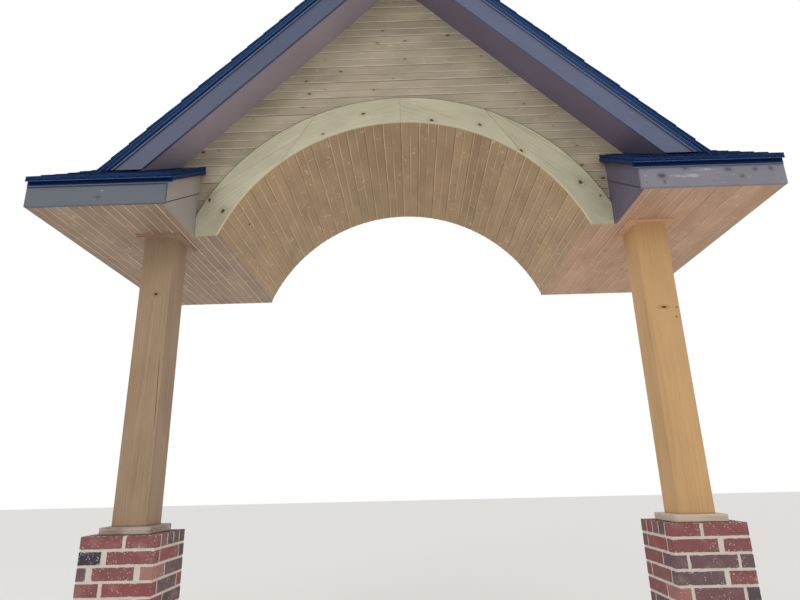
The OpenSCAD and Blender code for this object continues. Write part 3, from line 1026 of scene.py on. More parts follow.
# One stain on both returns: the left copy is lighter as painted light, the right copy darker and bluer as
# painted shade.
RETURN_STAIN = {
    Side.LEFT: Stain("return stain left", shade(156, 149, 142), shade(170, 164, 156), 0.0, Run.ALONG_Y,
                     seam_z=SEAM_Z),
    Side.RIGHT: Stain("return stain right", shade(94, 89, 106), shade(130, 122, 130), 0.0, Run.ALONG_Y,
                      seam_z=SEAM_Z),
}
# The right copy is lighter than the left as painted sunlight on that rake.
RAKE_STAIN = {
    Side.LEFT: Stain("rake stain left", shade(76, 83, 106), shade(124, 128, 142), 0.2, Run.ALONG_X),
    Side.RIGHT: Stain("rake stain right", shade(90, 97, 122), shade(142, 146, 160), 0.35, Run.ALONG_X),
}
RAKE_SOFFIT_STAIN = {
    Side.LEFT: Stain("rake soffit stain left", shade(150, 138, 147), shade(150, 138, 140), 0.0, Run.ALONG_X),
    Side.RIGHT: Stain("rake soffit stain right", shade(108, 98, 116), shade(134, 120, 126), 0.0, Run.ALONG_X),
}
DRIP_NAVY = shade(18, 38, 74)
# A lighter copy of the drip paint, as painted light on the right rake.
DRIP_SLATE_LIT = shade(54, 70, 102)
PINE_GRAIN = Grain(shade(212, 180, 134), shade(184, 146, 100), PINE_KNOT, 60.0, 0.04, 0.3)


def new_object(name: str, mesh: bpy.types.Mesh) -> Piece:
    """Adds an object at the origin.

    Args:
        name: The object's name.
        mesh: Its mesh.

    Returns:
        The object.
    """
    piece = bpy.data.objects.new(name, mesh)
    bpy.context.scene.collection.objects.link(piece)
    return piece


def dress(material: Material, *nodes: str) -> None:
    """Gives nodes of the frame their finish.

    Args:
        material: The finish.
        nodes: The nodes.
    """
    for node in nodes:
        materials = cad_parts[node].data.materials
        if not materials:
            materials.append(material)
        for index in range(len(materials)):
            materials[index] = material


def keep(piece: Piece, slot: str, *nodes: str) -> None:
    """Hands over a finished piece, and lets it stand for nodes of the frame.

    Args:
        piece: The piece.
        slot: Not used.
        nodes: The nodes that it stands for.
    """
    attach(piece, BODY)
    if nodes:
        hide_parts(*nodes)
    LOG.info("%s: %d faces", piece.name, len(piece.data.polygons))


def loft(work: Work, rings: list[list[Vector]]) -> list[bmesh.types.BMFace]:
    """Adds a closed solid through rings of as many corners each.

    Args:
        work: The mesh that it is added to.
        rings: The rings in order, each with its corners in order.

    Returns:
        The new faces.
    """
    made = [[work.verts.new(point) for point in ring] for ring in rings]
    faces = [work.faces.new(made[0]), work.faces.new(made[-1][::-1])]
    for low, high in zip(made, made[1:]):
        for corners in zip(low[1:] + low[:1], low, high, high[1:] + high[:1]):
            faces.append(work.faces.new(corners))
    return faces


def extrude(work: Work, ring: list[Vector], push: Vector) -> None:
    """Adds a prism over a flat ring."""
    loft(work, [ring, [point + push for point in ring]])


def to_piece(name: str, work: Work) -> Piece:
    """Turns a working mesh into an object with its normals outwards.

    Args:
        name: The object's name.
        work: The working mesh, which is freed.

    Returns:
        The object.
    """
    bmesh.ops.recalc_face_normals(work, faces=work.faces)
    mesh = bpy.data.meshes.new(name)
    work.to_mesh(mesh)
    work.free()
    return new_object(name, mesh)


def finish(name: str, work: Work, material: Material, slot: str, *nodes: str) -> None:
    """Turns a working mesh into a finished piece.

    Args:
        name: The piece's name.
        work: The working mesh.
        material: The piece's finish.
        slot: Passed on to keep, which does not use it.
        nodes: The nodes that the piece stands for.
    """
    piece = to_piece(name, work)
    piece.data.materials.append(material)
    keep(piece, slot, *nodes)


class TreeMaker(Nodes):
    """A geometry node tree that sets shapes on points, by values with names."""

    def __init__(self, name: str, values: dict[str, tuple[str, object]]) -> None:
        """Starts the tree.

        Args:
            name: The tree's name.
            values: Each input's name with its kind of socket and its value.
        """
        super().__init__(bpy.data.node_groups.new(name, "GeometryNodeTree"))
        face = self.tree.interface
        for way in ("INPUT", "OUTPUT"):
            face.new_socket(name="Geometry", in_out=way, socket_type="NodeSocketGeometry")
        self.values: dict[str, object] = {}
        for label, (kind, value) in values.items():
            socket = face.new_socket(name=label, in_out="INPUT", socket_type=f"NodeSocket{kind}")
            self.values[socket.identifier] = value
        self.start = self.add("NodeGroupInput", "Geometry")

    def laid(self, shape: Value, **inputs: object) -> Value:
        """The shape on each point."""
        inputs = {"Points": self.start, "Instance": shape, **inputs}
        return self.add("GeometryNodeInstanceOnPoints", 0, inputs)

    def stored(self, geometry: Value, name: str, value: Value, kind: str, domain: str) -> Value:
        """The geometry with a value stored on it under a name."""
        inputs = {"Geometry": geometry, "Name": name, "Value": value}
        return self.add("GeometryNodeStoreNamedAttribute", 0, inputs, data_type=kind, domain=domain)

    def run(self, geometry: Value, material: Material, places: list[Vector], name: str,
            **numbers: tuple[str, str, list[float]]) -> Piece:
        """Ends the tree, and turns what it makes on points into a plain mesh.

        Args:
            geometry: What the tree makes.
            material: Its finish.
            places: The points that it starts from.
            name: The finished piece's name.
            numbers: What the points carry, by its name: its kind, its key and its values.

        Returns:
            The finished piece, with no modifier.
        """
        real = self.add("GeometryNodeRealizeInstances", 0, {"Geometry": geometry})
        dressed = self.add("GeometryNodeSetMaterial", 0, {"Geometry": real, "Material": material})
        self.feed(self.tree.nodes.new("NodeGroupOutput").inputs["Geometry"], dressed)
        start = bpy.data.meshes.new(f"{name}_points")
        start.from_pydata(places, [], [])
        for label, (kind, key, values) in numbers.items():
            start.attributes.new(label, kind, "POINT").data.foreach_set(key, values)
        carrier = new_object(start.name, start)
        modifier = carrier.modifiers.new(name, "NODES")
        modifier.node_group = self.tree
        for identifier, value in self.values.items():
            modifier[identifier] = value
        bpy.context.view_layer.update()
        graph = bpy.context.evaluated_depsgraph_get()
        mesh = bpy.data.meshes.new_from_object(
            carrier.evaluated_get(graph), preserve_all_data_layers=True, depsgraph=graph)
        bpy.data.objects.remove(carrier)
        mesh.name = name
        return new_object(name, mesh)


@dataclass
class BeadedCeiling:
    """Flat soffits and the vault between them, with the lines of their boards."""

    arc_step: float = mm(22)

    def build(self) -> None:
        """Makes both soffits and the vault."""
        for side in Side:
            self.soffit(side)
        self.vault()

    def soffit(self, side: Side) -> None:
        """One flat soffit, boarded from front to back.

        Args:
            side: The side that it lies on.
        """
        node = f"soffit_{side.word}"
        low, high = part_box(node)
        inner = PORCH.return_x + PORCH.fascia_t
        work = bmesh.new()
        for start, end, front in ((PORCH.springing_x, inner, PORCH.gable_y), (inner, PORCH.bay_half, low.y)):
            section = [(x, low.z + depth) for x, depth in BEAD.stops(start, end)]
            section += [(end, high.z), (start, high.z)]
            ring = [Vector((side.value * x, front, z)) for x, z in section]
            extrude(work, ring, Vector((0, high.y - front, 0)))
        finish(f"soffit_boards_{side.word}", work, SOFFIT_BOARDS[side].material(), "soffit", node)

    def vault(self) -> None:
        """The vault, boarded from front to back round its arc."""
        low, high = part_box("vault_ceiling")
        inner, outer = PORCH.vault_r, PORCH.vault_r + PORCH.board_t
        foot, outer_foot = (math.acos((low.z - PORCH.vault_z) / radius) for radius in (inner, outer))
        rings = []
        for arc, depth in BEAD.stops(-foot * inner, foot * inner, step=self.arc_step):
            angle = arc / inner
            corners = [(angle, inner + depth, y) for y in (low.y, high.y)]
            corners += [(angle / foot * outer_foot, outer, y) for y in (high.y, low.y)]
            rings.append([
                Vector((radius * math.sin(turn), y, PORCH.vault_z + radius * math.cos(turn)))
                for turn, radius, y in corners
            ])
        work = bmesh.new()
        loft(work, rings)
        finish("vault_boards", work, VAULT_BOARDS.material(), "vault", "vault_ceiling")


@dataclass
class GableFront:
    """Beaded boards of the gable, and the curved trim in front of them."""

    hole_gap: float = mm(0.3)
    least_hollow: float = mm(1)
    level_step: float = mm(12)
    tip: float = mm(4)

    def build(self) -> None:
        """Makes the boards left and right of the vault and above it, and dresses the trim."""
        low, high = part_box("gable_boards")
        hole = PORCH.vault_r + PORCH.board_t + self.hole_gap
        crown = PORCH.vault_z + hole
        work = bmesh.new()
        for sign, bottom, top in ((-1, low.z, crown), (1, low.z, crown), (0, crown, high.z - self.tip)):
            rings = []
            for z, depth in BEAD.stops(bottom, top, PORCH.soffit_z, self.level_step):
                out = min(high.x, (high.z - z) / GABLE_SLOPE)
                hollow = math.sqrt(max(hole ** 2 - (z - PORCH.vault_z) ** 2, self.least_hollow ** 2))
                first, last = (sign * hollow, sign * out) if sign else (-out, out)
                corners = ((first, low.y + depth), (last, low.y + depth), (last, high.y), (first, high.y))
                rings.append([Vector((x, y, z)) for x, y in corners])
            loft(work, rings)
        finish("gable_front_boards", work, GABLE_BOARDS.material(), "gable", "gable_boards")
        dress(TRIM_PINE.material(), "arch_trim")


@dataclass(frozen=True)
class Course:
    """One course seen from the front: its bricks' lengths from the left in mm, and their tones."""

    lengths: tuple[float, ...]
    tones: tuple[float, ...] = ()


@dataclass
class BrickPier:
    """A pier in running bond under a course of bricks on edge."""

    side: Side
    seed: int
    shown: tuple[Course, ...]
    joint: float = mm(11.5)
    recess: float = mm(3)
    depth_noise: float = mm(3.2)
    noise_scale: float = 38.0
    brick_l: float = mm(244)
    brick_w: float = mm(66)
    courses: int = 12
    edge_bricks: int = 5
    usual_tones: tuple[float, ...] = (0.15, 0.3, 0.45, 0.55, 0.6, 0.65, 0.72, 0.85)

    def __post_init__(self) -> None:
        """Takes the pier's box from the frame."""
        self.low, self.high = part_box(f"pier_{self.side.word}")

    def plan(self, number: int) -> Iterator[tuple[Pair, Pair, float | None]]:
        """Lays out one course: on edge, or with long bricks in front and behind, or at the sides.

        Args:
            number: How many courses lie over it.

        Returns:
            Each brick's ends along x and along y, and its tone, or None for a random one.
        """
        low, high = self.low, self.high
        course = Course(self.shown[2 - number % 2].lengths)
        if number < len(self.shown):
            course = self.shown[number]
        gap = (high.x - low.x - mm(sum(course.lengths))) / (len(course.lengths) - 1)
        at, fronts = low.x, []
        for length, tone in zip_longest(course.lengths, course.tones):
            fronts.append(((at, at + mm(length)), tone))
            at += mm(length) + gap
        front, back = (low.y, low.y + self.brick_w), (high.y - self.brick_w, high.y)
        if number == 0:
            pitch = (high.y - low.y + self.joint) / self.edge_bricks
            for row in range(self.edge_bricks):
                start = low.y + row * pitch
                for x, tone in fronts:
                    yield x, (start, start + pitch - self.joint), tone if row == 0 else None
        elif len(fronts) == 2:
            for x, tone in fronts:
                yield x, front, tone
                yield x, back, None
            for x in ((low.x, low.x + self.brick_w), (high.x - self.brick_w, high.x)):
                yield x, (front[1] + self.joint, back[0] - self.joint), None
        else:
            split = high.y - self.brick_l
            for x, tone in (fronts[0], fronts[-1]):
                yield x, (low.y, split - self.joint), tone
                yield x, (split, high.y), None
            yield fronts[1][0], front, fronts[1][1]
            yield fronts[1][0], back, None

    def build(self, brick: Material, mortar: Material) -> None:
        """Makes the rough bricks, from the top course down, and the mortar between them.

        Args:
            brick: The bricks' finish.
            mortar: The mortar's finish.
        """
        chance = random.Random(self.seed)
        pitch = (self.high.z - self.low.z + self.joint) / self.courses
        centres, sizes, tones = [], [], []
        for number in range(self.courses):
            top = self.high.z - number * pitch
            for x, y, tone in self.plan(number):
                ends = (x, y, (top - pitch + self.joint, top))
                centres.append([(start + end) / 2 for start, end in ends])
                sizes += [end - start for start, end in ends]
                tones.append(chance.choice(self.usual_tones) if tone is None else tone)
        maker = TreeMaker("bricks", {
            "Depth": ("Float", self.depth_noise),
            "Seed": ("Float", float(self.seed)),
        })
        here = maker.add("GeometryNodeInputPosition", 0)
        cube = maker.add("GeometryNodeMeshCube", 0, {
            "Size": (1.0, 1.0, 1.0), "Vertices X": 6, "Vertices Y": 4, "Vertices Z": 3})
        size = maker.add("GeometryNodeInputNamedAttribute", 0, {"Name": "size"}, data_type="FLOAT_VECTOR")
        laid = maker.laid(maker.stored(cube, "local", here, "FLOAT_VECTOR", "POINT"), Scale=size)
        real = maker.add("GeometryNodeRealizeInstances", 0, {"Geometry": laid})
        noise = maker.add("ShaderNodeTexNoise", 0, {
            "Vector": here, "W": maker.start.beside("Seed") * 3.7, "Scale": self.noise_scale, "Detail": 3.0,
        }, noise_dimensions="4D")
        inward = maker.add("ShaderNodeVectorMath", 0, {
            0: maker.add("GeometryNodeInputNormal", 0), "Scale": noise * maker.start.beside("Depth") * -1.0,
        }, operation="SCALE")
        rough = maker.add("GeometryNodeSetPosition", 0, {"Geometry": real, "Offset": inward})
        word, node = self.side.word, f"pier_{self.side.word}"
        keep(maker.run(rough, brick, centres, f"bricks_{word}", size=("FLOAT_VECTOR", "vector", sizes),
                       tone=("FLOAT", "value", tones)), "brick", node)
        left, front, foot = self.low.x + self.recess, self.low.y + self.recess, self.low.z
        right, back, top = (end - self.recess for end in self.high)
        ring = [Vector((x, y, foot)) for x, y in ((left, front), (right, front), (right, back), (left, back))]
        work = bmesh.new()
        extrude(work, ring, Vector((0, 0, top - foot)))
        finish(f"mortar_{word}", work, mortar, "brick", node)


LEFT_COURSES = (
    Course((228, 161), (0.62, 0.6)),
    Course((121, 255), (0.0, 0.62)),
    Course((50, 223, 69), (0.35, 0.6, 0.95)),
    Course((124, 262), (0.6, 0.72)),
)
RIGHT_COURSES = (
    Course((157, 234), (0.66, 0.64)),
    Course((237, 141), (0.6, 0.6)),
    Course((65, 246, 68), (0.3, 0.36, 0.3)),
    Course((243, 138), (0.26, 0.66)),
    Course((61, 249, 65), (0.92, 0.46, 0.12)),
)


@dataclass(frozen=True)
class Limit:
    """The side of a line in plan where a x + b y <= c."""

    a: float
    b: float
    c: float

    def clip(self, shape: Plan) -> Plan:
        """Keeps the part of a flat shape on this side of the line.

        Args:
            shape: The corners of the shape.

        Returns:
            The corners of what is left.
        """
        kept: Plan = []
        for (x0, y0), (x1, y1) in zip(shape, shape[1:] + shape[:1]):
            before, after = (self.a * x + self.b * y - self.c for x, y in ((x0, y0), (x1, y1)))
            if before <= 0:
                kept.append((x0, y0))
            if min(before, after) < 0 < max(before, after):
                share = before / (before - after)
                kept.append((x0 + (x1 - x0) * share, y0 + (y1 - y0) * share))
        return kept


@dataclass(frozen=True)
class Slope:
    """The part of one roof slope that takes shingles, seen in plan, with x away from the middle."""

    side: Side
    on_gable: bool
    base: float
    step: float
    low_edge: float
    length: float
    ends: Pair
    limits: tuple[Limit, ...]

    def at(self, x: float, y: float, lift: float) -> Vector:
        """The point over a place in plan, lifted square to the slope."""
        rise, steep = (-GABLE_SLOPE * x, GABLE_STEEP) if self.on_gable else (MAIN_SLOPE * y, MAIN_STEEP)
        return Vector((self.side.value * x, y, self.base + rise + lift * steep))

    def up(self, x: float, y: float) -> float:
        """How far a place in plan lies from the low edge."""
        return self.low_edge - x if self.on_gable else y - self.low_edge

    def outline(self, start: float, end: float, first: float, last: float) -> Plan:
        """A rectangle across the slope, cut to the roof.

        Args:
            start: How far it starts from the low edge, in plan.
            end: How far it ends from the low edge.
            first: Its first end along the eave.
            last: Its last end.

        Returns:
            The corners that are left.
        """
        sign = -1 if self.on_gable else 1
        low, high = self.low_edge + sign * start, self.low_edge + sign * end
        shape = [(low, first), (high, first), (high, last), (low, last)]
        if not self.on_gable:
            shape = [(x, y) for y, x in shape]
        for limit in self.limits:
            shape = limit.clip(shape) if len(shape) > 2 else []
        return shape


@dataclass(frozen=True)
class Layer:
    """A layer of a course: its underside and top at the butt, and how much of the fall each takes."""

    bottom: float
    top: float
    bottom_fall: float = 1.0
    top_fall: float = 1.0


@dataclass
class ShingleRoof:
    """Laminated shingles in courses on the gable and on the main slope, and the caps of the ridge."""

    exposure: float = mm(143)
    total_t: float = mm(28)
    sheet_t: float = mm(2.4)
    starter_t: float = mm(4)
    return_over: float = mm(32)
    tab_w: Pair = (mm(70), mm(190))
    gap_w: Pair = (mm(40), mm(130))
    least_tab: float = mm(8)
    ragged: Pair = (mm(0.6), mm(2))
    # The starter's tone, the first, is the lightest, as a painted reflection along the roof edge.
    lower_tones: tuple[float, float, float] = (0.95, 0.15, 0.5)
    usual_tones: Pair = (0.25, 0.6)
    tab_tones: Pair = (-0.3, 0.35)
    lightest: float = 0.85
    skin: float = mm(0.15)
    cap_t: float = mm(5)
    cap_lap: float = 1.6
    cap_gap: float = mm(0.5)
    cap_tones: Pair = (0.2, 0.7)
    seed: int = 41

    def build(self, material: Material) -> None:
        """Makes the courses of all four slopes, and the ridge caps.

        Args:
            material: The shingles' finish.
        """
        self.chance = random.Random(self.seed)
        for side in Side:
            for part in ("gable", "main"):
                work = bmesh.new()
                work.faces.layers.float.new("tone")
                for slope in self.slopes(side, part == "gable"):
                    butt = 0.0
                    while butt < slope.length:
                        self.course(work, slope, butt)
                        butt += slope.step
                node = f"{part}_shingles_{side.word}"
                finish(node.replace("shingles", "courses"), work, material, "shingle", node)
        self.ridge(material)

    def slopes(self, side: Side, on_gable: bool) -> list[Slope]:
        """The parts of one slope of the roof.

        Args:
            side: The side that it lies on.
            on_gable: Whether it is the gable's slope.

        Returns:
            The gable's slope from its valley up, or else the return's roof and the part behind the gable.
        """
        part, steep = ("gable", GABLE_STEEP) if on_gable else ("main", MAIN_STEEP)
        low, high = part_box(f"{part}_shingles_{side.word}")
        at_wall = (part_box("gable_shingles_right")[1].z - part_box("main_shingles_right")[1].z) / GABLE_SLOPE
        if on_gable:
            edge = high.x - low.x
            limits = (Limit(1.0, MAIN_SLOPE, at_wall), Limit(-1.0, 0.0, 0.0), Limit(0.0, 1.0, 0.0))
            parts = [(edge, edge, (low.y, 0.0), limits)]
        else:
            over_return = (PORCH.return_x - self.return_over, low.y, PORCH.gable_y, ())
            behind = (0.0, PORCH.gable_y, 0.0, (Limit(-1.0, -MAIN_SLOPE, -at_wall),))
            parts = [
                (low.y, end - low.y, (x, PORCH.bay_half),
                 (*cuts, Limit(-1.0, 0.0, -x), Limit(0.0, 1.0, end), Limit(0.0, -1.0, -start)))
                for x, start, end, cuts in (over_return, behind)
            ]
        base, step = high.z - self.total_t * steep, self.exposure / steep
        return [Slope(side, on_gable, base, step, *part) for part in parts]

    def course(self, work: Work, slope: Slope, butt: float) -> None:
        """Adds one course: what lies under it, its sheet, and the tabs on top.

        Args:
            work: The mesh that it is added to.
            slope: The slope that it lies on.
            butt: Where it starts, from the low edge.
        """
        first, last = slope.ends
        end = butt + slope.step
        under = self.total_t - 2 * self.sheet_t
        shift = [self.chance.uniform(*self.ragged) for _ in range(4)]
        usual = self.chance.uniform(*self.usual_tones)
        starter, lower, upper = self.lower_tones
        slabs = [
            (slope.outline(butt + inset, end, first + inset, last), layer, tone) for layer, inset, tone in (
                (Layer(0.0, self.starter_t, 0.0, 0.0), 0.0, starter),
                (Layer(self.starter_t + self.skin, under / 2, 0.0, 0.0), shift[0], lower),
                (Layer(under / 2 + self.skin, under - self.skin, 0.0), shift[1], upper),
                (Layer(under, under + self.sheet_t - self.skin), shift[2], usual),
            )
        ]
        raised = Layer(under + self.sheet_t, self.total_t)
        at = first - self.chance.uniform(0.0, self.tab_w[1])
        while at < last:
            tab = self.chance.uniform(*self.tab_w)
            start, stop = max(at, first + shift[3]), min(at + tab, last)
            if stop - start > self.least_tab:
                tone = min(self.lightest, max(0.0, usual + self.chance.uniform(*self.tab_tones)))
                slabs.append((slope.outline(butt, end, start, stop), raised, tone))
            at += tab + self.chance.uniform(*self.gap_w)
        rate = 2 * self.sheet_t / slope.step
        store = work.faces.layers.float["tone"]
        for shape, layer, tone in slabs:
            rings = [
                [slope.at(x, y, height - fall * rate * (slope.up(x, y) - butt)) for x, y in shape]
                for height, fall in ((layer.bottom, layer.bottom_fall), (layer.top, layer.top_fall))
            ]
            for face in loft(work, rings) if len(shape) > 2 else ():
                face[store] = tone

    def cap(self, leg: float, top: float, length: float) -> Piece:
        """One cap bent over the ridge.

        Args:
            leg: How far it reaches down each side, in plan.
            top: The height of its fold.
            length: Its length along the ridge.

        Returns:
            The cap.
        """
        rings = []
        for y, sink in ((0.0, 0.0), (length, self.cap_t * self.cap_lap)):
            over = [Vector((x, y, top - GABLE_SLOPE * abs(x) - sink * GABLE_STEEP)) for x in (-leg, 0.0, leg)]
            down = Vector((0, 0, self.cap_t * GABLE_STEEP))
            rings.append(over + [point - down for point in reversed(over)])
        work = bmesh.new()
        loft(work, rings)
        return to_piece("ridge_cap_shape", work)

    def ridge(self, material: Material) -> None:
        """The caps over the ridge, each lapped over the last.

        Args:
            material: Their finish.
        """
        low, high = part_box("ridge_cap")
        count = math.ceil((high.y - low.y) / self.exposure)
        pitch = (high.y - low.y) / count
        cap = self.cap(high.x, high.z - self.cap_gap, pitch * self.cap_lap)
        maker = TreeMaker("ridge caps", {"Cap": ("Object", cap), "Seed": ("Int", self.seed)})
        shape = maker.add("GeometryNodeObjectInfo", "Geometry", {"Object": maker.start.beside("Cap")})
        chance = {2: self.cap_tones[0], 3: self.cap_tones[1], "Seed": maker.start.beside("Seed")}
        tone = maker.add("FunctionNodeRandomValue", 1, chance, data_type="FLOAT")
        caps = maker.stored(maker.laid(shape), "tone", tone, "FLOAT", "INSTANCE")
        places = [Vector((0.0, low.y + index * pitch, 0.0)) for index in range(count)]
        piece = maker.run(caps, material, places, "ridge_caps")
        bpy.data.objects.remove(cap)
        self.trim_end(piece.data, high.y)
        keep(piece, "shingle", "ridge_cap")

    @staticmethod
    def trim_end(mesh: bpy.types.Mesh, limit: float) -> None:
        """Cuts a mesh off square, and closes it.

        Args:
            mesh: The mesh.
            limit: The place along y.
        """
        work = bmesh.new()
        work.from_mesh(mesh)
        whole = [*work.verts, *work.edges, *work.faces]
        cut = bmesh.ops.bisect_plane(
            work, geom=whole, plane_co=(0, limit, 0), plane_no=(0, 1, 0), clear_outer=True)
        rim = [part for part in cut["geom_cut"] if isinstance(part, bmesh.types.BMEdge)]
        bmesh.ops.holes_fill(work, edges=rim)
        bmesh.ops.recalc_face_normals(work, faces=work.faces)
        work.to_mesh(mesh)
        work.free()


@dataclass
class Timbers:
    """Posts and plates with eased edges, and collars of four mitred boards."""

    post_ease: float = mm(5)
    plate_ease: float = mm(4)
    collar_step: float = mm(9)
    collar_inset: float = mm(6)
    step_rise: float = mm(2)
    mitre: float = mm(0.4)
    weld: float = mm(0.05)
    flat: float = math.radians(1)
    sharp: float = math.radians(40)

    def build(self) -> None:
        """Makes the timbers of both sides."""
        for side in Side:
            self.eased(side, "post", "cedar_post", self.post_ease, CEDAR[side].material())
            self.eased(side, "base_plate", "plate", self.plate_ease, PLATES[side].material())
            self.collar(side)

    def eased(self, side: Side, timber: str, name: str, width: float, material: Material) -> None:
        """A copy of a timber with its edges rounded.

        Args:
            side: The side that it stands on.
            timber: The node's name without its side.
            name: The new piece's name without its side.
            width: Width of the rounding.
            material: The piece's finish.
        """
        node = f"{timber}_{side.word}"
        work = bmesh.new()
        work.from_mesh(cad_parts[node].data)
        bmesh.ops.remove_doubles(work, verts=work.verts, dist=self.weld)
        bmesh.ops.dissolve_limit(work, angle_limit=self.flat, verts=work.verts, edges=work.edges)
        edges = [edge for edge in work.edges if edge.is_manifold and edge.calc_face_angle() > self.sharp]
        bmesh.ops.bevel(
            work, geom=edges, offset=width, segments=2, affect="EDGES", profile=0.5, clamp_overlap=True)
        finish(f"{name}_{side.word}", work, material, timber, node)

    def collar(self, side: Side) -> None:
        """The four boards round a post's head, stepped below.

        Args:
            side: The side that they are on.
        """
        node = f"post_collar_{side.word}"
        (low, high), (post_low, post_high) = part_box(node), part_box(f"post_{side.word}")
        centre = (low + high) / 2
        hole = (post_high - post_low) / 2 + Vector((self.mitre, self.mitre, 0))
        width = (high.x - low.x) / 2 - hole.x
        inset, step_z = width - self.collar_inset, low.z + self.collar_step
        profile = (
            (0.0, low.z), (inset, low.z), (inset, step_z), (width, step_z + self.step_rise),
            (width, high.z), (0.0, high.z),
        )
        work = bmesh.new()
        for turn in range(4):
            spin = Matrix.Rotation(math.radians(90 * turn), 4, "Z")
            near, far = (hole.x, hole.y) if turn % 2 == 0 else (hole.y, hole.x)
            loft(work, [
                [
                    spin @ Vector((end * (near + out - self.mitre), -(far + out), z))
                    + Vector((centre.x, centre.y, 0)) for out, z in profile
                ] for end in (-1, 1)
            ])
        finish(f"collar_boards_{side.word}", work, COLLARS[side].material(), "collar", node)


@dataclass
class Fascias:
    """Stained boards of the eaves and of the gable's edge, their drip edges and their nails."""

    head_r: float = mm(4.5)
    head_t: float = mm(1.2)
    spacing: float = mm(406)
    from_edge: float = mm(30)
    from_top: float = mm(45)
    rake_rows: Pair = (0.3, 0.75)
    # Sizes of the painted highlight on each drip edge's hem and of the painted reflection on the rake drip's
    # bend.
    eave_hem: float = mm(9)
    eave_hem_y: float = mm(4)
    rake_hem: float = mm(12)
    rake_bend: float = mm(9)
    rake_face: float = mm(40)

    def build(self) -> None:
        """Dresses the boards and drip edges, and sets the nails."""
        for side in Side:
            for stains, *boards in (
                    (EAVE_STAIN, "eave_fascia"), (RETURN_STAIN, "return_board", "return_infill"),
                    (RAKE_STAIN, "rake_fascia"), (RAKE_SOFFIT_STAIN, "rake_soffit")):
                dress(stains[side].material(), *(f"{board}_{side.word}" for board in boards))
        hem_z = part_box("eave_drip_edge")[0].z + self.eave_hem
        eave = DripPaint("eave drip paint", DRIP_NAVY, DRIP_NAVY, hem_z, 0.0, PORCH.eave_y + self.eave_hem_y)
        dress(eave.material(), "eave_drip_edge")
        hem_z, bend_z = (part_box("rake_drip_edge")[1].z - down * GABLE_STEEP
                         for down in (self.rake_face - self.rake_hem, self.rake_bend))
        rake = DripPaint("rake drip paint", DRIP_NAVY, DRIP_SLATE_LIT, hem_z, GABLE_SLOPE, 0.0, bend_z)
        dress(rake.material(), "rake_drip_edge")
        self.nails()

    def eave_points(self, side: Side) -> list[Vector]:
        """Places of the nails on one eave fascia.

        Args:
            side: The side that it is on.

        Returns:
            The places.
        """
        low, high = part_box(f"eave_fascia_{side.word}")
        length = high.x - low.x - 2 * self.from_edge
        count = int(length / self.spacing) + 1
        return [
            Vector((low.x + self.from_edge + index * length / count, low.y, z))
            for index in range(count + 1) for z in (low.z + self.from_edge, high.z - self.from_top)
        ]

    def rake_points(self, side: Side) -> list[Vector]:
        """Places of the nails on one rake fascia.

        Args:
            side: The side that it is on.

        Returns:
            The places.
        """
        low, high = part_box(f"rake_fascia_{side.word}")
        reach = high.x - low.x
        plumb = abs(high.z - low.z - reach * GABLE_SLOPE)
        found = []
        at = self.spacing / 2
        while at < reach - 2 * self.from_edge:
            for share in self.rake_rows:
                found.append(Vector((side.value * at, low.y, high.z - at * GABLE_SLOPE - plumb * share)))
            at += self.spacing / GABLE_STEEP
        return found

    def nails(self) -> None:
        """Sets a nail head at each place."""
        places = [place for side in Side for place in self.eave_points(side) + self.rake_points(side)]
        maker = TreeMaker("nail heads", {"Radius": ("Float", self.head_r), "Height": ("Float", self.head_t)})
        head = maker.add("GeometryNodeMeshCylinder", 0, {
            "Vertices": 12, "Radius": maker.start.beside("Radius"), "Depth": maker.start.beside("Height")})
        heads = maker.laid(head, Rotation=(math.radians(90), 0.0, 0.0))
        steel = Plain("nail heads", shade(104, 104, 116)).material()
        keep(maker.run(heads, steel, places, "nail_heads"), "fascia")


@dataclass
class HiddenFrame:
    """Framing and roof boards that show from behind."""

    painted: float = mm(60)
    timbers: dict[Run, tuple[str, ...]] = field(default_factory=lambda: {
        Run.ALONG_X: ("gable_rafters", "vault_ribs", "ceiling_joists", "wall_ledger"),
        Run.ALONG_Y: (
            "ridge_board", "valley_rafters", "main_rafters", "headers", "side_ledgers", "rake_lookouts"),
        Run.ALONG_Z: ("gable_studs",),
    })

    def build(self) -> None:
        """Dresses the framing and the roof boards."""
        for run, nodes in self.timbers.items():
            dress(SolidTimber(f"sawn pine {run.value}", PINE_GRAIN, run).material(), *nodes)
        for part in ("gable_deck", "main_deck"):
            boards = Plywood(f"{part} boards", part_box(f"{part}_right")[0].y + self.painted)
            dress(boards.material(), *(f"{part}_{side.word}" for side in Side))


@dataclass(frozen=True)
class Lamp:
    """A soft round lamp."""

    name: str
    at: tuple[float, float, float]
    size: float
    power: float


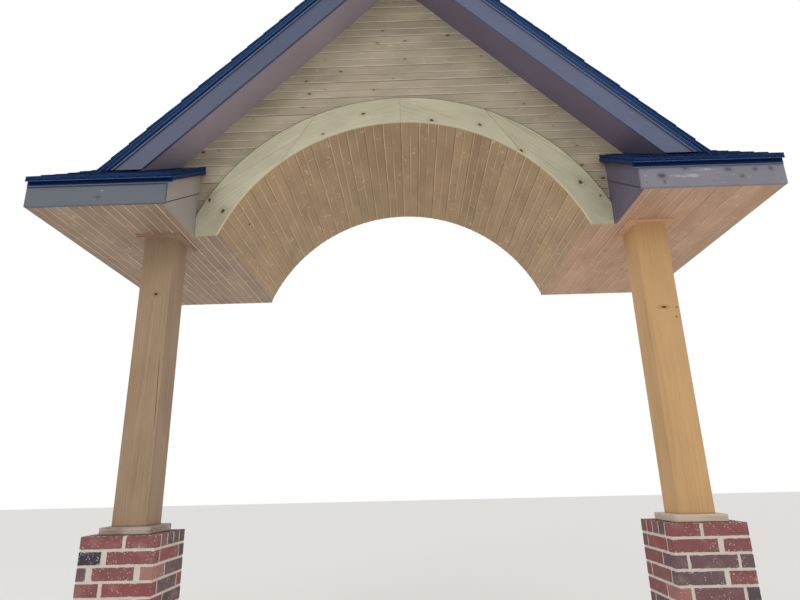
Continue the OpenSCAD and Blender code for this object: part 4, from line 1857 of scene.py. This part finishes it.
@dataclass
class Studio:
    """Pale floor, soft light, and the camera at the photograph's angle."""

    eye: Vector = field(default_factory=lambda: Vector((0.0219, -4.8542, -2.5545)))
    yaw: float = -0.0159
    pitch: float = 0.3027
    roll: float = -0.0236
    focal_px: float = 574.35
    width_px: float = 800.0
    sensor: float = 36.0
    floor_half: float = 30.0
    sky: float = 0.86
    lamps: tuple[Lamp, ...] = (
        Lamp("key", (-5.0, -7.5, 2.5), 4.0, 130.0), Lamp("fill", (6.0, -6.0, -1.0), 5.0, 50.0))
    aim: Vector = field(default_factory=lambda: Vector((0.0, -1.0, -1.5)))

    def build(self) -> None:
        """Sets up the studio."""
        self.camera()
        self.floor()
        self.world()
        for lamp in self.lamps:
            self.hang(lamp)
        bpy.context.scene.view_settings.view_transform = "Standard"

    def camera(self) -> None:
        """Places the camera."""
        flat = math.cos(self.pitch)
        forward = Vector((math.sin(self.yaw) * flat, math.cos(self.yaw) * flat, math.sin(self.pitch)))
        right = Vector((math.cos(self.yaw), -math.sin(self.yaw), 0.0))
        up = right.cross(forward)
        turned_right = right * math.cos(self.roll) + up * math.sin(self.roll)
        turned_up = up * math.cos(self.roll) - right * math.sin(self.roll)
        data = bpy.data.cameras.new("camera")
        data.sensor_width = self.sensor
        data.lens = self.focal_px * self.sensor / self.width_px
        camera = bpy.data.objects.new("camera", data)
        turn = Matrix((turned_right, turned_up, -forward)).transposed().to_4x4()
        camera.matrix_world = Matrix.Translation(self.eye) @ turn
        bpy.context.scene.collection.objects.link(camera)
        bpy.context.scene.camera = camera

    def floor(self) -> None:
        """Lays the pale floor."""
        mesh = bpy.data.meshes.new("floor")
        corners = [(x * self.floor_half, y * self.floor_half, PORCH.ground_z)
                   for x, y in ((-1, -1), (1, -1), (1, 1), (-1, 1))]
        mesh.from_pydata(corners, [], [(0, 1, 2, 3)])
        mesh.materials.append(Plain("pale floor", shade(236, 235, 232), 0.9).material())
        new_object("floor", mesh)

    def world(self) -> None:
        """Lights the scene from all round, and shows white behind it."""
        world = bpy.data.worlds.new("studio")
        bpy.context.scene.world = world
        world.use_nodes = True
        world.node_tree.nodes.clear()
        nodes = Nodes(world.node_tree)
        seen = nodes.add("ShaderNodeLightPath", "Is Camera Ray")
        seen = seen.larger(seen.beside("Is Glossy Ray")).larger(seen.beside("Is Transmission Ray"))
        sky, white = (
            nodes.add("ShaderNodeBackground", 0, {"Color": (1.0, 1.0, 1.0, 1.0), "Strength": strength})
            for strength in (self.sky, 1.0))
        shown = nodes.add("ShaderNodeMixShader", 0, {0: seen, 1: sky, 2: white})
        nodes.feed(nodes.tree.nodes.new("ShaderNodeOutputWorld").inputs["Surface"], shown)

    def hang(self, lamp: Lamp) -> None:
        """Hangs a lamp that faces the porch.

        Args:
            lamp: The lamp.
        """
        data = bpy.data.lights.new(lamp.name, "AREA")
        data.shape = "DISK"
        data.size = lamp.size
        data.energy = lamp.power
        hung = bpy.data.objects.new(lamp.name, data)
        hung.location = lamp.at
        hung.rotation_euler = (self.aim - Vector(lamp.at)).to_track_quat("-Z", "Y").to_euler()
        bpy.context.scene.collection.objects.link(hung)


def main() -> None:
    """Builds the porch piece by piece."""
    logging.basicConfig(level=logging.INFO, format="%(message)s")
    Studio().build()
    BeadedCeiling().build()
    GableFront().build()
    pier_low, pier_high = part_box("pier_right")
    middle = (pier_low + pier_high) / 2
    brick = Brick("fired brick", (middle.x, middle.y), pier_high.x - middle.x).material()
    mortar = Mortar("mortar").material()
    BrickPier(Side.LEFT, 7, LEFT_COURSES).build(brick, mortar)
    BrickPier(Side.RIGHT, 19, RIGHT_COURSES).build(brick, mortar)
    Timbers().build()
    Fascias().build()
    ShingleRoof().build(Shingle("shingles").material())
    HiddenFrame().build()


if __name__ == "__main__":
    main()
